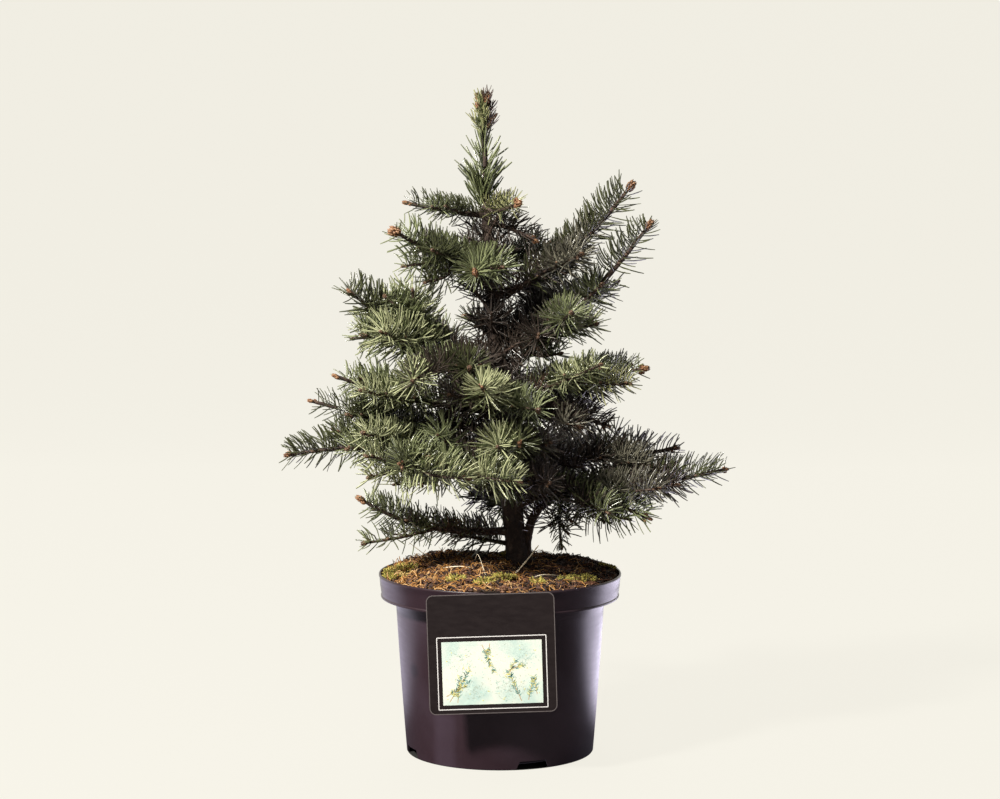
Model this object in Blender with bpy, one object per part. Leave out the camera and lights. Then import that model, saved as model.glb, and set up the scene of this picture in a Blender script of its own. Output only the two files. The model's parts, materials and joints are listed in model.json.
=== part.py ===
"""Young blue spruce in its round nursery pot, with a hang card on the rim.

Metres, +Z up. The origin is the middle of the pot's flat underside, +X is the plant's right and -Y its
front. Azimuths run from +X (right) through +Y (back), so the front is at -90 degrees.

The trunk stands on the root ball. Each bough is a bare limb that leaves the trunk at its own height, and
the mass of needles on it carries on from the limb's end: one stem and its side twigs, with needles drawn
out of their faces.
The short shoots near the top have no bare limb, and their stems start at the trunk. The leader's needles
are a thimble over the trunk's last stretch. Touching solids keep a gap of GAP between them.
"""

import math
import random
from collections import namedtuple

import bmesh
import bpy
import numpy as np
from mathutils import Matrix, Vector

MM = 0.001
GAP = 0.3 * MM
UP = Vector((0, 0, 1))

# Pot
RIM_RADIUS = 112.5 * MM
POT_HEIGHT = 167 * MM
WALL = 1.5 * MM
RIM_BAND = 22 * MM  # height of the stiffening band under the lip
RIM_DRAFT = 2.5 * MM  # how much narrower the band is at its lower edge
BODY_TOP_RADIUS = 97 * MM
BODY_FOOT_RADIUS = 87 * MM
FLOOR_RADIUS = 66 * MM  # the flat disc that the pot stands on
CHANNEL_DEPTH = 8 * MM  # the drain channel between that disc and the wall
POT_SIDES = 36
NOTCH_AZIMUTHS = (20, 110, 200, 290)
NOTCH_WIDTH = 33 * MM
NOTCH_TOP_WIDTH = 25 * MM
NOTCH_CUT = 4 * WALL  # how far the cutter reaches to both sides of the wall
DRAIN_HOLES = 8
DRAIN_RADIUS = 5 * MM

# Root ball
SOIL_EDGE = POT_HEIGHT - 4 * MM
SOIL_CROWN = POT_HEIGHT + 5 * MM
SOIL_RIPPLE = 1.3 * MM
SOIL_RINGS = 4
SEAT_MARGIN = 1.5 * MM  # how much wider than the trunk's foot its flat seat is
SEAT_CUT = 10 * MM  # height of the seat's cutter
NEEDLE_OFF_SOIL = 2 * MM
NEEDLE_OFF_POT = 3 * MM

# Card
CARD_WIDTH = 114 * MM
CARD_HEIGHT = 108 * MM
CARD_THICKNESS = 0.8 * MM
CARD_CORNER = 4 * MM
CARD_X = -9 * MM
CARD_TOP = POT_HEIGHT - 0.5 * MM
CARD_TURN = math.radians(1.8)
HOOK_X = -7 * MM
HOOK_WIDTH = 14 * MM
HOOK_DROP = 7 * MM
HOOK_ROOT = 5 * MM  # how far the hook runs down the card's back

# Trunk
TRUNK_FOOT = Vector((18 * MM, 18 * MM, SOIL_CROWN - 2 * MM))
TRUNK_TIP = Vector((-15 * MM, 4 * MM, 600 * MM))
TRUNK_FOOT_RADIUS = 10.5 * MM
TRUNK_NECK_RADIUS = 3.4 * MM  # where the last year's leader starts
NECK_STEP = 0.8 * MM  # how much stouter the trunk is just below it
TRUNK_TIP_RADIUS = 2 * MM
LEADER_LENGTH = 98 * MM
LEADER_GREEN = 93 * MM  # its needled stretch, clear of the top whorl's stems
FLARE = 4 * MM
FLARE_HEIGHT = 9 * MM
TRUNK_SIDES = 10
TRUNK_STEPS = 14
TRUNK_BOW = 1.75  # over 1, the foot of the trunk leans more than the rest

# Limbs, stems and twigs
LIMB_SIDES, LIMB_STEPS = 5, 4
LIMB_BEND = 2  # a limb does most of its bending near its end
LIMB_TAPER = 0.7
STEM_STEPS, TWIG_STEPS = 4, 2
STEM_SIDES, TWIG_SIDES, LEADER_SIDES = 4, 3, 8
STEM_TIP_RADIUS = 1.6 * MM
TWIG_RADIUS = 1.8 * MM
BUD_RADIUS, BUD_LENGTH = 2.6 * MM, 8 * MM
BUD_SWELL = 0.4  # where along its length a bud is stoutest
TWIG_UPTURN = 8  # degrees that a twig climbs more at its tip than at its root
TWIG_RETURN = 0.25  # share of its turn that a twig gives back along its length
LEADER_SLEEVE = 2 * MM  # thickness of the leader's green rind round the trunk

# Needles, fewer and stouter than the real ones, each drawn out of one face of its shoot
NEEDLE_LENGTH = 21 * MM
NEEDLE_PITCH = 6.8 * MM  # from one ring of faces to the next
NEEDLE_TWIST = math.radians(40)  # how far each ring is turned on the one before
NEEDLE_LEANS = (58, 36)  # degrees from the shoot, at its root and at its tip
LEADER_LEANS = (52, 9)
NEEDLE_LIFT = 0.22  # how strongly needles turn towards the sky
TIP_SHORTENING = 0.3  # how much shorter the last needles of a shoot are
NEEDLE_RADIUS = 1.2 * MM
NEEDLE_FOOT = 0.1  # share of a needle next to its root that isn't looked at for clearances
BARE_START = 5 * MM  # of a shoot, without needles
CLEARANCE = 0.8 * MM  # between anything that grows and its neighbours

# A bough: its name, the height of its foot, the azimuth, how steeply it climbs at its foot, where its
# needles start and at its tip, the lengths of its bare limb and of its needled stem, and its twigs.
# Heights and lengths are in millimetres and angles in degrees.
Bough = namedtuple("Bough", "name height azimuth rise level tip limb stem twigs")
# A twig: how far along the stem it leaves, its turn from the stem, its climb above the stem's, its length.
Twig = namedtuple("Twig", "share turn lift length")

PAIR = (Twig(0.25, -42, 2, 50), Twig(0.32, 44, 0, 48))
FAN = (Twig(0.12, 48, 2, 58), Twig(0.2, -46, 0, 60), Twig(0.5, 40, 4, 44))

BOUGHS = (
    # Top whorl, straight from the trunk
    Bough("top_left", 497, 190, 6, 9, 13, 0, 74, ()),
    Bough("top_front_right", 501, -65, 2, 6, 14, 0, 67, ()),
    Bough("top_low_right", 490, -25, -8, -18, -28, 0, 50, ()),
    Bough("top_back", 499, 75, 4, 8, 16, 0, 62, ()),
    # Upper whorl
    Bough("upper_left", 450, 213, 9, 19, 30, 0, 105, (Twig(0.36, 40, -14, 44),)),
    Bough("upper_front", 454, -98, -6, -3, 0, 0, 85, (Twig(0.45, 48, 0, 32),)),
    Bough("upper_right", 423, -5, 17, 36, 54, 46, 118, (Twig(0.03, -48, -20, 56), Twig(0.1, 48, -20, 50))),
    Bough("upper_back_right", 446, 50, 6, 22, 40, 0, 76, (Twig(0.4, -40, -8, 40),)),
    Bough("upper_back_left", 441, 136, 6, 19, 32, 0, 86, (Twig(0.4, -42, -8, 42), Twig(0.48, 44, -4, 38))),
    # Shoulder
    Bough("shoulder_right", 350, -11, 38, 42, 54, 58, 138,
          (Twig(0.03, -16, -32, 58), Twig(0.05, -76, -30, 76), Twig(0.26, 46, -22, 58), Twig(0.36, -44, -16, 44))),
    Bough("shoulder_left", 344, 197, 20, 30, 40, 42, 122,
          (Twig(0.2, 44, -18, 80), Twig(0.28, 15, -26, 64), Twig(0.35, 72, 34, 50), Twig(0.38, -44, -8, 52))),
    Bough("shoulder_back", 387, 114, 12, 11, 10, 0, 66, ()),
    Bough("shoulder_back_right", 366, 40, 36, 34, 32, 30, 76, PAIR),
    Bough("shoulder_back_left", 336, 148, 30, 31, 32, 30, 90, PAIR),
    # Middle
    Bough("middle_front_left", 363, 239, -4, 2, -6, 32, 104, (Twig(0.26, 46, 0, 48), Twig(0.34, -46, 4, 44))),
    Bough("middle_left", 315, 198, 8, 9, 22, 36, 124, (Twig(0.24, 29, -3, 84), Twig(0.34, -42, -2, 58))),
    Bough("middle_far_left", 298, 182, 7, 4, 16, 42, 135, (Twig(0.32, -40, 2, 56), Twig(0.42, 38, -4, 50))),
    Bough("middle_right", 326, -17, 22, 14, 10, 34, 104,
          (Twig(0.1, -41, 2, 82), Twig(0.33, -18, -14, 62), Twig(0.28, 44, -6, 58))),
    Bough("middle_front", 316, -97, 15, 15, 15, 36, 103, (Twig(0.14, 48, -18, 66), Twig(0.27, -48, -10, 50))),
    Bough("middle_low_right", 304, 4, 20, 0, -24, 0, 96, (Twig(0.36, -46, -4, 54), Twig(0.44, 42, 0, 50))),
    Bough("middle_back_right", 310, 38, 8, 12, 20, 40, 118, FAN),
    Bough("middle_back_left", 302, 100, 8, 12, 20, 42, 120, FAN),
    # Lower
    Bough("lower_left", 276, 191, 7, 7, -9, 48, 152,
          (Twig(0.16, 48, 7, 88), Twig(0.32, 36, -4, 62), Twig(0.38, -40, 6, 60))),
    Bough("lower_front_left", 254, 233, 8, 11, 11, 42, 116, (Twig(0.17, -41, -2, 94), Twig(0.46, 40, 0, 44))),
    Bough("lower_front", 246, -91, 8, 12, 20, 38, 102, (Twig(0.15, 48, -10, 56), Twig(0.44, -50, -6, 38))),
    Bough("lower_mid_front", 278, -84, 11, 11, 11, 0, 116, (Twig(0.42, 46, -6, 50), Twig(0.5, -42, -2, 40))),
    Bough("lower_right", 268, 5, -3, 2, 10, 42, 124,
          (Twig(0.38, -35, -14, 48), Twig(0.33, 47, 26, 42), Twig(0.56, 40, 2, 40))),
    Bough("lower_far_right", 176, -4, 86, 8, 16, 76, 152,
          (Twig(0.12, -44, -2, 92), Twig(0.16, 40, 2, 64), Twig(0.42, -36, -6, 50), Twig(0.46, 38, 2, 46))),
    Bough("lower_hanging_right", 226, -21, 30, 0, -22, 40, 96,
          (Twig(0.06, -36, -66, 50), Twig(0.2, -44, -8, 58), Twig(0.34, 40, 4, 48))),
    Bough("lower_back_right", 246, 60, 2, 6, 14, 42, 134, FAN),
    Bough("lower_back_left", 252, 130, 2, 6, 14, 44, 132, FAN),
    # Skirt, just over the soil
    Bough("skirt_left", 203, 195, 0, 7, 34, 54, 94, (Twig(0.17, 10, -14, 72), Twig(0.44, -44, -8, 40))),
    Bough("skirt_back", 222, 96, -2, 0, 8, 0, 98, (Twig(0.42, 46, 0, 46), Twig(0.5, -44, 0, 44))),
    Bough("skirt_small", 190, 156, 4, 4, 8, 0, 52, ()),
)


# ---------------------------------------------------------------- small tools


def clear_scene():
    for obj in list(bpy.data.objects):
        bpy.data.objects.remove(obj)


def material(name, colour, roughness, metallic=0.0):
    mat = bpy.data.materials.new(name)
    mat.use_nodes = True
    shader = mat.node_tree.nodes["Principled BSDF"]
    shader.inputs["Base Color"].default_value = (*colour, 1)
    shader.inputs["Roughness"].default_value = roughness
    shader.inputs["Metallic"].default_value = metallic
    return mat


def new_object(name, bm, mat, collection=None):
    """An object from a bmesh, which is used up."""
    mesh = bpy.data.meshes.new(name)
    bm.to_mesh(mesh)
    bm.free()
    obj = bpy.data.objects.new(name, mesh)
    (collection or bpy.context.scene.collection).objects.link(obj)
    mesh.materials.append(mat)
    return obj


def add_boolean(obj, operation, other):
    """other is an object, or a collection of them."""
    modifier = obj.modifiers.new(operation.title(), "BOOLEAN")
    modifier.operation = operation
    modifier.solver = "EXACT"
    if isinstance(other, bpy.types.Collection):
        modifier.operand_type = "COLLECTION"
        modifier.collection = other
    else:
        modifier.object = other


def apply_modifiers(obj):
    graph = bpy.context.evaluated_depsgraph_get()
    made = bpy.data.meshes.new_from_object(obj.evaluated_get(graph))
    obj.modifiers.clear()
    obj.data = made


def hide_cutter(obj):
    obj.hide_render = True
    obj.display_type = "WIRE"
    return obj


def frames_along(points, first=None, last=None):
    """Matrices at the points of a path, with Z along it and X and Y carried on from one to the next.

    first and last are the directions at its two ends, where its own end stretches don't give them.
    """
    frames = []
    across = None
    for i, point in enumerate(points):
        along = (points[min(i + 1, len(points) - 1)] - points[max(i - 1, 0)]).normalized()
        if first and i == 0:
            along = first
        if last and i == len(points) - 1:
            along = last
        if across is None:
            across = UP.cross(along) if abs(along.z) < 0.9 else Vector((1, 0, 0))
        across = (across - along * across.dot(along)).normalized()
        over = along.cross(across)
        turned = Matrix((across, over, along)).transposed().to_4x4()
        frames.append(Matrix.Translation(point) @ turned)
    return frames


def tube(points, radii, sides, last=None):
    """A closed tube through the points."""
    bm = bmesh.new()
    rings = []
    for frame, radius in zip(frames_along(points, last=last), radii):
        made = bmesh.ops.create_circle(bm, segments=sides, radius=radius, matrix=frame)
        rings.append(made["verts"])
    for low, high in zip(rings, rings[1:]):
        for i in range(sides):
            bm.faces.new((low[i], low[i - 1], high[i - 1], high[i]))
    bm.faces.new(rings[0])
    bm.faces.new(rings[-1])
    bmesh.ops.recalc_face_normals(bm, faces=bm.faces)
    return bm


def turned(profile, sides):
    """A closed body of revolution. The profile runs from one point on the axis to another."""
    bm = bmesh.new()
    verts = [bm.verts.new((radius, 0, height)) for radius, height in profile]
    edges = [bm.edges.new(pair) for pair in zip(verts, verts[1:])]
    bmesh.ops.spin(bm, geom=verts + edges, cent=(0, 0, 0), axis=UP, angle=2 * math.pi, steps=sides,
                   use_merge=True)
    bmesh.ops.remove_doubles(bm, verts=bm.verts, dist=0.01 * MM)
    bmesh.ops.recalc_face_normals(bm, faces=bm.faces)
    return bm


# ---------------------------------------------------------------- pot, root ball and card


def pot_inner_profile(clearance=0.0):
    """The inside of the pot from its lip down to the axis, taken in by a clearance."""
    band_foot = POT_HEIGHT - RIM_BAND
    lip = RIM_RADIUS - WALL - clearance
    ledge = RIM_RADIUS - RIM_DRAFT - WALL - clearance
    return [
        (lip, POT_HEIGHT),
        (ledge, band_foot + WALL + clearance),
        (BODY_TOP_RADIUS - WALL - clearance, band_foot + WALL + clearance),
        (BODY_FOOT_RADIUS - WALL - clearance, CHANNEL_DEPTH + WALL + clearance),
        (FLOOR_RADIUS - clearance, CHANNEL_DEPTH + WALL + clearance),
        (FLOOR_RADIUS - WALL - clearance, WALL + clearance),
        (0, WALL + clearance),
    ]


def build_pot(mat):
    band_foot = POT_HEIGHT - RIM_BAND
    outside = [
        (0, 0),
        (FLOOR_RADIUS, 0),
        (FLOOR_RADIUS + WALL, CHANNEL_DEPTH),
        (BODY_FOOT_RADIUS - WALL, CHANNEL_DEPTH),
        (BODY_FOOT_RADIUS - WALL, 0),
        (BODY_FOOT_RADIUS, 0),
        (BODY_TOP_RADIUS, band_foot),
        (RIM_RADIUS - RIM_DRAFT, band_foot),
        (RIM_RADIUS, POT_HEIGHT - WALL),
        (RIM_RADIUS - WALL / 3, POT_HEIGHT),
    ]
    pot = new_object("pot", turned(outside + pot_inner_profile(), POT_SIDES), mat)
    cutters = bpy.data.collections.new("pot_cutters")
    bpy.context.scene.collection.children.link(cutters)
    for azimuth in NOTCH_AZIMUTHS:
        hide_cutter(notch_cutter(math.radians(azimuth), mat, cutters))
    for k in range(DRAIN_HOLES):
        turn = Matrix.Rotation(2 * math.pi * (k + 0.5) / DRAIN_HOLES, 4, "Z")
        middle = (FLOOR_RADIUS + BODY_FOOT_RADIUS) / 2
        place = turn @ Matrix.Translation((middle, 0, CHANNEL_DEPTH))
        bm = bmesh.new()
        bmesh.ops.create_cone(bm, cap_ends=True, segments=8, radius1=DRAIN_RADIUS, radius2=DRAIN_RADIUS,
                              depth=4 * WALL, matrix=place)
        hide_cutter(new_object(f"drain_cutter_{k}", bm, mat, cutters))
    add_boolean(pot, "DIFFERENCE", cutters)


def notch_cutter(azimuth, mat, collection):
    """A wedge that cuts a trapezoid drain notch through the foot of the wall."""
    bm = bmesh.new()
    bmesh.ops.create_cube(bm, size=1)
    inner, outer = BODY_FOOT_RADIUS - NOTCH_CUT, BODY_FOOT_RADIUS + NOTCH_CUT
    for vert in bm.verts:
        width = NOTCH_TOP_WIDTH if vert.co.z > 0 else NOTCH_WIDTH
        vert.co = (outer if vert.co.x > 0 else inner,
                   math.copysign(width / 2, vert.co.y),
                   CHANNEL_DEPTH - GAP if vert.co.z > 0 else -WALL)
    bm.transform(Matrix.Rotation(azimuth, 4, "Z"))
    return new_object(f"notch_cutter_{math.degrees(azimuth):.0f}", bm, mat, collection)


def soil_level(x, y):
    """Height of the soil's top, mounded round the trunk and gently rippled towards the wall."""
    reach = math.hypot(x, y) / RIM_RADIUS
    azimuth = math.atan2(y, x)
    ripple = SOIL_RIPPLE * reach * (math.sin(3 * azimuth + 0.6) + 0.6 * math.sin(7 * azimuth))
    return SOIL_EDGE + (SOIL_CROWN - SOIL_EDGE) * max(0.0, 1 - reach**2) + ripple


def build_soil(mat):
    """The root ball: the pot's inside, filled, with a flat seat for the trunk's foot."""
    side = pot_inner_profile(GAP)
    slope = (side[0][0] - side[1][0]) / (side[0][1] - side[1][1])
    edge = side[1][0] + slope * (SOIL_EDGE - 2 * SOIL_RIPPLE - side[1][1])
    top = [(edge * k / SOIL_RINGS, SOIL_EDGE) for k in range(SOIL_RINGS + 1)]
    bm = turned(top + side[1:], POT_SIDES)
    for vert in bm.verts:
        radius = math.hypot(vert.co.x, vert.co.y)
        if vert.co.z > POT_HEIGHT - RIM_BAND / 2 and radius < edge * 0.999:
            vert.co.z = soil_level(vert.co.x, vert.co.y)
    soil = new_object("root_ball", bm, mat)
    seat = bmesh.new()
    radius = trunk_radius(0) + SEAT_MARGIN
    middle = TRUNK_FOOT + UP * (SEAT_CUT / 2 - GAP)
    bmesh.ops.create_cone(seat, cap_ends=True, segments=20, radius1=radius, radius2=radius, depth=SEAT_CUT,
                          matrix=Matrix.Translation(middle))
    add_boolean(soil, "DIFFERENCE", hide_cutter(new_object("trunk_seat_cutter", seat, mat)))
    slot = bmesh.new()
    bmesh.ops.create_cube(slot, size=1)
    inner = hook_leg() + CARD_THICKNESS + GAP
    for vert in slot.verts:
        vert.co = (HOOK_X + math.copysign(HOOK_WIDTH / 2 + GAP, vert.co.x),
                   inner if vert.co.y > 0 else -RIM_RADIUS,
                   POT_HEIGHT + math.copysign(HOOK_DROP + GAP, vert.co.z))
    add_boolean(soil, "DIFFERENCE", hide_cutter(new_object("hook_slot_cutter", slot, mat)))


def rounded_rectangle(width, height, corner, steps=3):
    """Outline points in X and Z, with the top edge at zero."""
    points = []
    for cx, cz, start in ((1, 0, 0), (-1, 0, 90), (-1, -1, 180), (1, -1, 270)):
        for k in range(steps + 1):
            angle = math.radians(start + 90 * k / steps)
            middle_z = -corner if cz == 0 else corner - height
            points.append((cx * (width / 2 - corner) + corner * math.cos(angle),
                           middle_z + corner * math.sin(angle)))
    return points


def extruded(outline, depth):
    """A closed plate: the outline's points, carried along depth."""
    bm = bmesh.new()
    face = bm.faces.new([bm.verts.new(point) for point in outline])
    grown = bmesh.ops.extrude_face_region(bm, geom=[face])["geom"]
    far = [item for item in grown if isinstance(item, bmesh.types.BMVert)]
    bmesh.ops.translate(bm, verts=far, vec=depth)
    bmesh.ops.recalc_face_normals(bm, faces=bm.faces)
    return bm


def hook_leg():
    """How far back the hook's inner leg starts: it clears the round rim at both edges of the hook."""
    half_span = abs(HOOK_X) + HOOK_WIDTH / 2
    return -math.sqrt((RIM_RADIUS - WALL - RIM_DRAFT / 2) ** 2 - half_span**2) + GAP


def build_card(mat):
    """A flat card that hangs against the lip, and the hook that passes over the lip behind it."""
    back = -RIM_RADIUS - GAP
    outline = [(x, 0, z) for x, z in rounded_rectangle(CARD_WIDTH, CARD_HEIGHT, CARD_CORNER)]
    bm = extruded(outline, (0, -CARD_THICKNESS, 0))
    bm.transform(Matrix.Translation((CARD_X, back, CARD_TOP)) @ Matrix.Rotation(-CARD_TURN, 4, "Y"))
    card = new_object("label_card", bm, mat)

    under, over = POT_HEIGHT + GAP, POT_HEIGHT + GAP + CARD_THICKNESS
    leg = hook_leg()
    profile = [
        (back - CARD_THICKNESS / 2, CARD_TOP - HOOK_ROOT),
        (back - CARD_THICKNESS / 2, over),
        (leg + CARD_THICKNESS, over),
        (leg + CARD_THICKNESS, POT_HEIGHT - HOOK_DROP),
        (leg, POT_HEIGHT - HOOK_DROP),
        (leg, under),
        (back, under),
        (back, CARD_TOP - HOOK_ROOT),
    ]
    side = [(HOOK_X - HOOK_WIDTH / 2, y, z) for y, z in profile]
    hook = new_object("hook", extruded(side, (HOOK_WIDTH, 0, 0)), mat)
    add_boolean(card, "UNION", hook)
    apply_modifiers(card)
    bpy.data.objects.remove(hook)


# ---------------------------------------------------------------- trunk


def trunk_radius(share):
    """The trunk's radius at a share of its height, with the root flare at its foot."""
    height = share * (TRUNK_TIP.z - TRUNK_FOOT.z)
    neck = 1 - LEADER_LENGTH / (TRUNK_TIP.z - TRUNK_FOOT.z)
    taper = np.interp(share, (0, neck, neck + 0.02, 1),
                      (TRUNK_FOOT_RADIUS, TRUNK_NECK_RADIUS + NECK_STEP, TRUNK_NECK_RADIUS, TRUNK_TIP_RADIUS))
    return float(taper) + FLARE * math.exp(-height / FLARE_HEIGHT)


def trunk_point(share):
    """The trunk leaves its foot leaning left and straightens towards the leader."""
    bow = (1 - share) ** TRUNK_BOW
    return Vector((TRUNK_TIP.x + (TRUNK_FOOT.x - TRUNK_TIP.x) * bow,
                   TRUNK_TIP.y + (TRUNK_FOOT.y - TRUNK_TIP.y) * (1 - share),
                   TRUNK_FOOT.z + (TRUNK_TIP.z - TRUNK_FOOT.z) * share))


def trunk_at_height(height):
    return trunk_point((height - TRUNK_FOOT.z) / (TRUNK_TIP.z - TRUNK_FOOT.z))


def trunk_shares():
    """Rings close together in the root flare, and evenly spaced above it."""
    return [0, 0.012, 0.03, 0.055] + [0.1 + 0.9 * k / TRUNK_STEPS for k in range(TRUNK_STEPS + 1)]


def trunk_tube(extra=0.0):
    shares = trunk_shares()
    points = [trunk_point(share) for share in shares]
    points[0].z -= extra
    points[-1].z += extra
    bm = tube(points, [trunk_radius(share) + extra for share in shares], TRUNK_SIDES)
    for vert in bm.verts:  # the foot is a level cut
        if vert.co.z < TRUNK_FOOT.z + MM:
            vert.co.z = TRUNK_FOOT.z - extra
    return bm


# ---------------------------------------------------------------- how the boughs grow


def heading(azimuth, climb):
    azimuth, climb = math.radians(azimuth), math.radians(climb)
    return Vector((math.cos(azimuth) * math.cos(climb), math.sin(azimuth) * math.cos(climb), math.sin(climb)))


def grow(start, azimuths, climbs, length, steps, bend=1):
    """The points of a limb whose azimuth and climb change from its root to its tip."""
    points = [start.copy()]
    for k in range(steps):
        share = (k + 0.5) / steps
        azimuth = azimuths[0] + (azimuths[1] - azimuths[0]) * share
        climb = climbs[0] + (climbs[1] - climbs[0]) * share**bend
        points.append(points[-1] + heading(azimuth, climb) * (length / steps))
    return points


def path_length(points):
    return sum((b - a).length for a, b in zip(points, points[1:]))


def along(points, share):
    """The point at a share of a path's length."""
    left = share * path_length(points)
    for a, b in zip(points, points[1:]):
        length = (b - a).length
        if left <= length or b is points[-1]:
            return a + (b - a) * (left / length)
        left -= length


def limb_radius(bough):
    """A limb's radius at its foot: the more it carries, the stouter."""
    return (1.3 + 0.0155 * (bough.limb + bough.stem)) * MM


class Space:
    """What is already taken: tapering rods, each with its owner."""

    def __init__(self):
        self.owners, self.rods = [], []

    def take(self, owner, a, b, radius_a, radius_b):
        self.owners.append(owner)
        self.rods.append((*a, *b, radius_a, radius_b))

    def take_path(self, owner, points, radii):
        for a, b, radius_a, radius_b in zip(points, points[1:], radii, radii[1:]):
            self.take(owner, a, b, radius_a, radius_b)

    def is_clear(self, owners, a, b, radius_a, radius_b):
        """True if a new rod stays clear of everything that these owners don't hold."""
        others = np.array([rod for rod, who in zip(self.rods, self.owners) if who not in owners])
        a, b = np.array(a), np.array(b)
        p, q = others[:, 0:3], others[:, 3:6]
        u, v, w = b - a, q - p, a - p
        uu, vv = u @ u, np.einsum("ij,ij->i", v, v) + 1e-12
        uv, uw, vw = v @ u, w @ u, np.einsum("ij,ij->i", v, w)
        s = np.clip((uv * vw - vv * uw) / np.maximum(uu * vv - uv * uv, 1e-12), 0, 1)
        t = np.clip((uv * s + vw) / vv, 0, 1)
        s = np.clip((uv * t - uw) / uu, 0, 1)
        apart = np.linalg.norm(w + s[:, None] * u - t[:, None] * v, axis=1)
        thick = radius_a + (radius_b - radius_a) * s + others[:, 6] + (others[:, 7] - others[:, 6]) * t
        return bool((apart - thick).min() > CLEARANCE)


def over_soil(point):
    """True where a needle's tip stays off the soil and the pot."""
    reach = math.hypot(point.x, point.y)
    if reach < RIM_RADIUS:
        return point.z > max(POT_HEIGHT, soil_level(point.x, point.y)) + NEEDLE_OFF_SOIL
    return point.z > POT_HEIGHT or reach > RIM_RADIUS + NEEDLE_OFF_POT


class Shoot:
    """A needled shoot: rings of corners along a path, a bud at its end, and needles on chosen faces."""

    def __init__(self, points, root_radius, tip_radius=STEM_TIP_RADIUS, first=None, sides=STEM_SIDES,
                 leans=NEEDLE_LEANS):
        self.sides, self.leans = sides, leans
        length = path_length(points)
        needled = 1 - BUD_LENGTH / length
        self.rows = max(3, round(length * needled / NEEDLE_PITCH))
        shares = [k / self.rows for k in range(self.rows + 1)]
        centres = [along(points, needled * share) for share in shares]
        self.frames = frames_along(centres, first)
        radii = [root_radius + (tip_radius - root_radius) * share for share in shares]
        self.rings = [self.ring(frame, radius, k) for k, (frame, radius) in enumerate(zip(self.frames, radii))]
        self.length, self.end = length, points[-1]
        self.needles = {}

    def ring(self, frame, radius, k):
        angles = [2 * math.pi * j / self.sides + NEEDLE_TWIST * k for j in range(self.sides)]
        return [frame @ Vector((radius * math.cos(a), radius * math.sin(a), 0)) for a in angles]

    def face(self, row, side):
        low, high = self.rings[row], self.rings[row + 1]
        return low[side], low[side - 1], high[side - 1], high[side]

    def needle(self, row, side):
        """A needle's root, in the middle of its face, and its tip."""
        root = sum(self.face(row, side), Vector()) / 4
        share = (row + 0.5) / self.rows
        forward = self.frames[row].to_3x3().col[2]
        radial = root - self.frames[row].translation
        radial = (radial - forward * radial.dot(forward)).normalized()
        lean = math.radians(self.leans[0] + (self.leans[1] - self.leans[0]) * share)
        way = forward * math.cos(lean) + radial * math.sin(lean) + UP * NEEDLE_LIFT * math.sin(lean)
        return root, root + way.normalized() * NEEDLE_LENGTH * (1 - TIP_SHORTENING * share**3)

    def sites(self):
        """The faces that can bear a needle: every other one, as on a chessboard."""
        first = math.ceil(BARE_START / NEEDLE_PITCH)
        faces = [(row, side) for row in range(first, self.rows) for side in range(self.sides)]
        return [(row, side) for row, side in faces if (row + side) % 2 == 0]

    def mesh(self):
        bm = bmesh.new()
        rings = [[bm.verts.new(corner) for corner in ring] for ring in self.rings]
        bm.faces.new(rings[0])
        for row, (low, high) in enumerate(zip(rings, rings[1:])):
            for side in range(self.sides):
                face = (low[side], low[side - 1], high[side - 1], high[side])
                self.cover(bm, face, self.needles.get((row, side)))
        middle = self.frames[-1].translation.lerp(self.end, BUD_SWELL)
        bud = Matrix.Translation(middle) @ self.frames[-1].to_3x3().to_4x4()
        swell = [bm.verts.new(corner) for corner in self.ring(bud, BUD_RADIUS, self.rows)]
        tip = bm.verts.new(self.end)
        for side in range(self.sides):
            bm.faces.new((rings[-1][side], rings[-1][side - 1], swell[side - 1], swell[side]))
            bm.faces.new((swell[side], swell[side - 1], tip))
        bmesh.ops.recalc_face_normals(bm, faces=bm.faces)
        return bm

    def cover(self, bm, corners, tip):
        """A bare face, or the sides of the needle that stands on it."""
        if tip is None:
            bm.faces.new(corners)
            return
        apex = bm.verts.new(tip)
        for a, b in zip(corners, corners[1:] + corners[:1]):
            bm.faces.new((a, b, apex))


def plan(bough, rng):
    """The paths of a bough: its bare limb, or None, and its shoots, the stem first."""
    trunk_width = trunk_radius((bough.height * MM - TRUNK_FOOT.z) / (TRUNK_TIP.z - TRUNK_FOOT.z))
    foot = trunk_at_height(bough.height * MM) + heading(bough.azimuth, 0) * trunk_width / 2
    swing = (bough.azimuth, bough.azimuth)
    if bough.limb:
        limb = grow(foot, swing, (bough.rise, bough.level), bough.limb * MM, LIMB_STEPS, LIMB_BEND)
        stem = grow(limb[-1], swing, (bough.level, bough.tip), bough.stem * MM, STEM_STEPS)
    else:
        limb = None
        stem = grow(foot, swing, (bough.rise, bough.tip), bough.stem * MM, STEM_STEPS)
    paths = [stem]
    for twig in bough.twigs:
        climb = bough.level + (bough.tip - bough.level) * twig.share + twig.lift + rng.uniform(-2, 2)
        azimuth = bough.azimuth + twig.turn + rng.uniform(-3, 3)
        azimuths = (azimuth, azimuth - twig.turn * TWIG_RETURN)
        climbs = (climb, climb + TWIG_UPTURN)
        paths.append(grow(along(stem, twig.share), azimuths, climbs, twig.length * MM, TWIG_STEPS))
    return limb, paths


def plan_shoots(bough, paths):
    """The stem, which starts GAP off the limb's end or inside the trunk, and the twigs."""
    start = heading(bough.azimuth, bough.level if bough.limb else bough.rise)
    stem = paths[0]
    radius = limb_radius(bough)
    if bough.limb:
        stem = [stem[0] + start * GAP] + stem[1:]
        radius *= LIMB_TAPER
    twigs = [Shoot(path, TWIG_RADIUS, sides=TWIG_SIDES) for path in paths[1:]]
    return [Shoot(stem, radius, first=start)] + twigs


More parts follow.
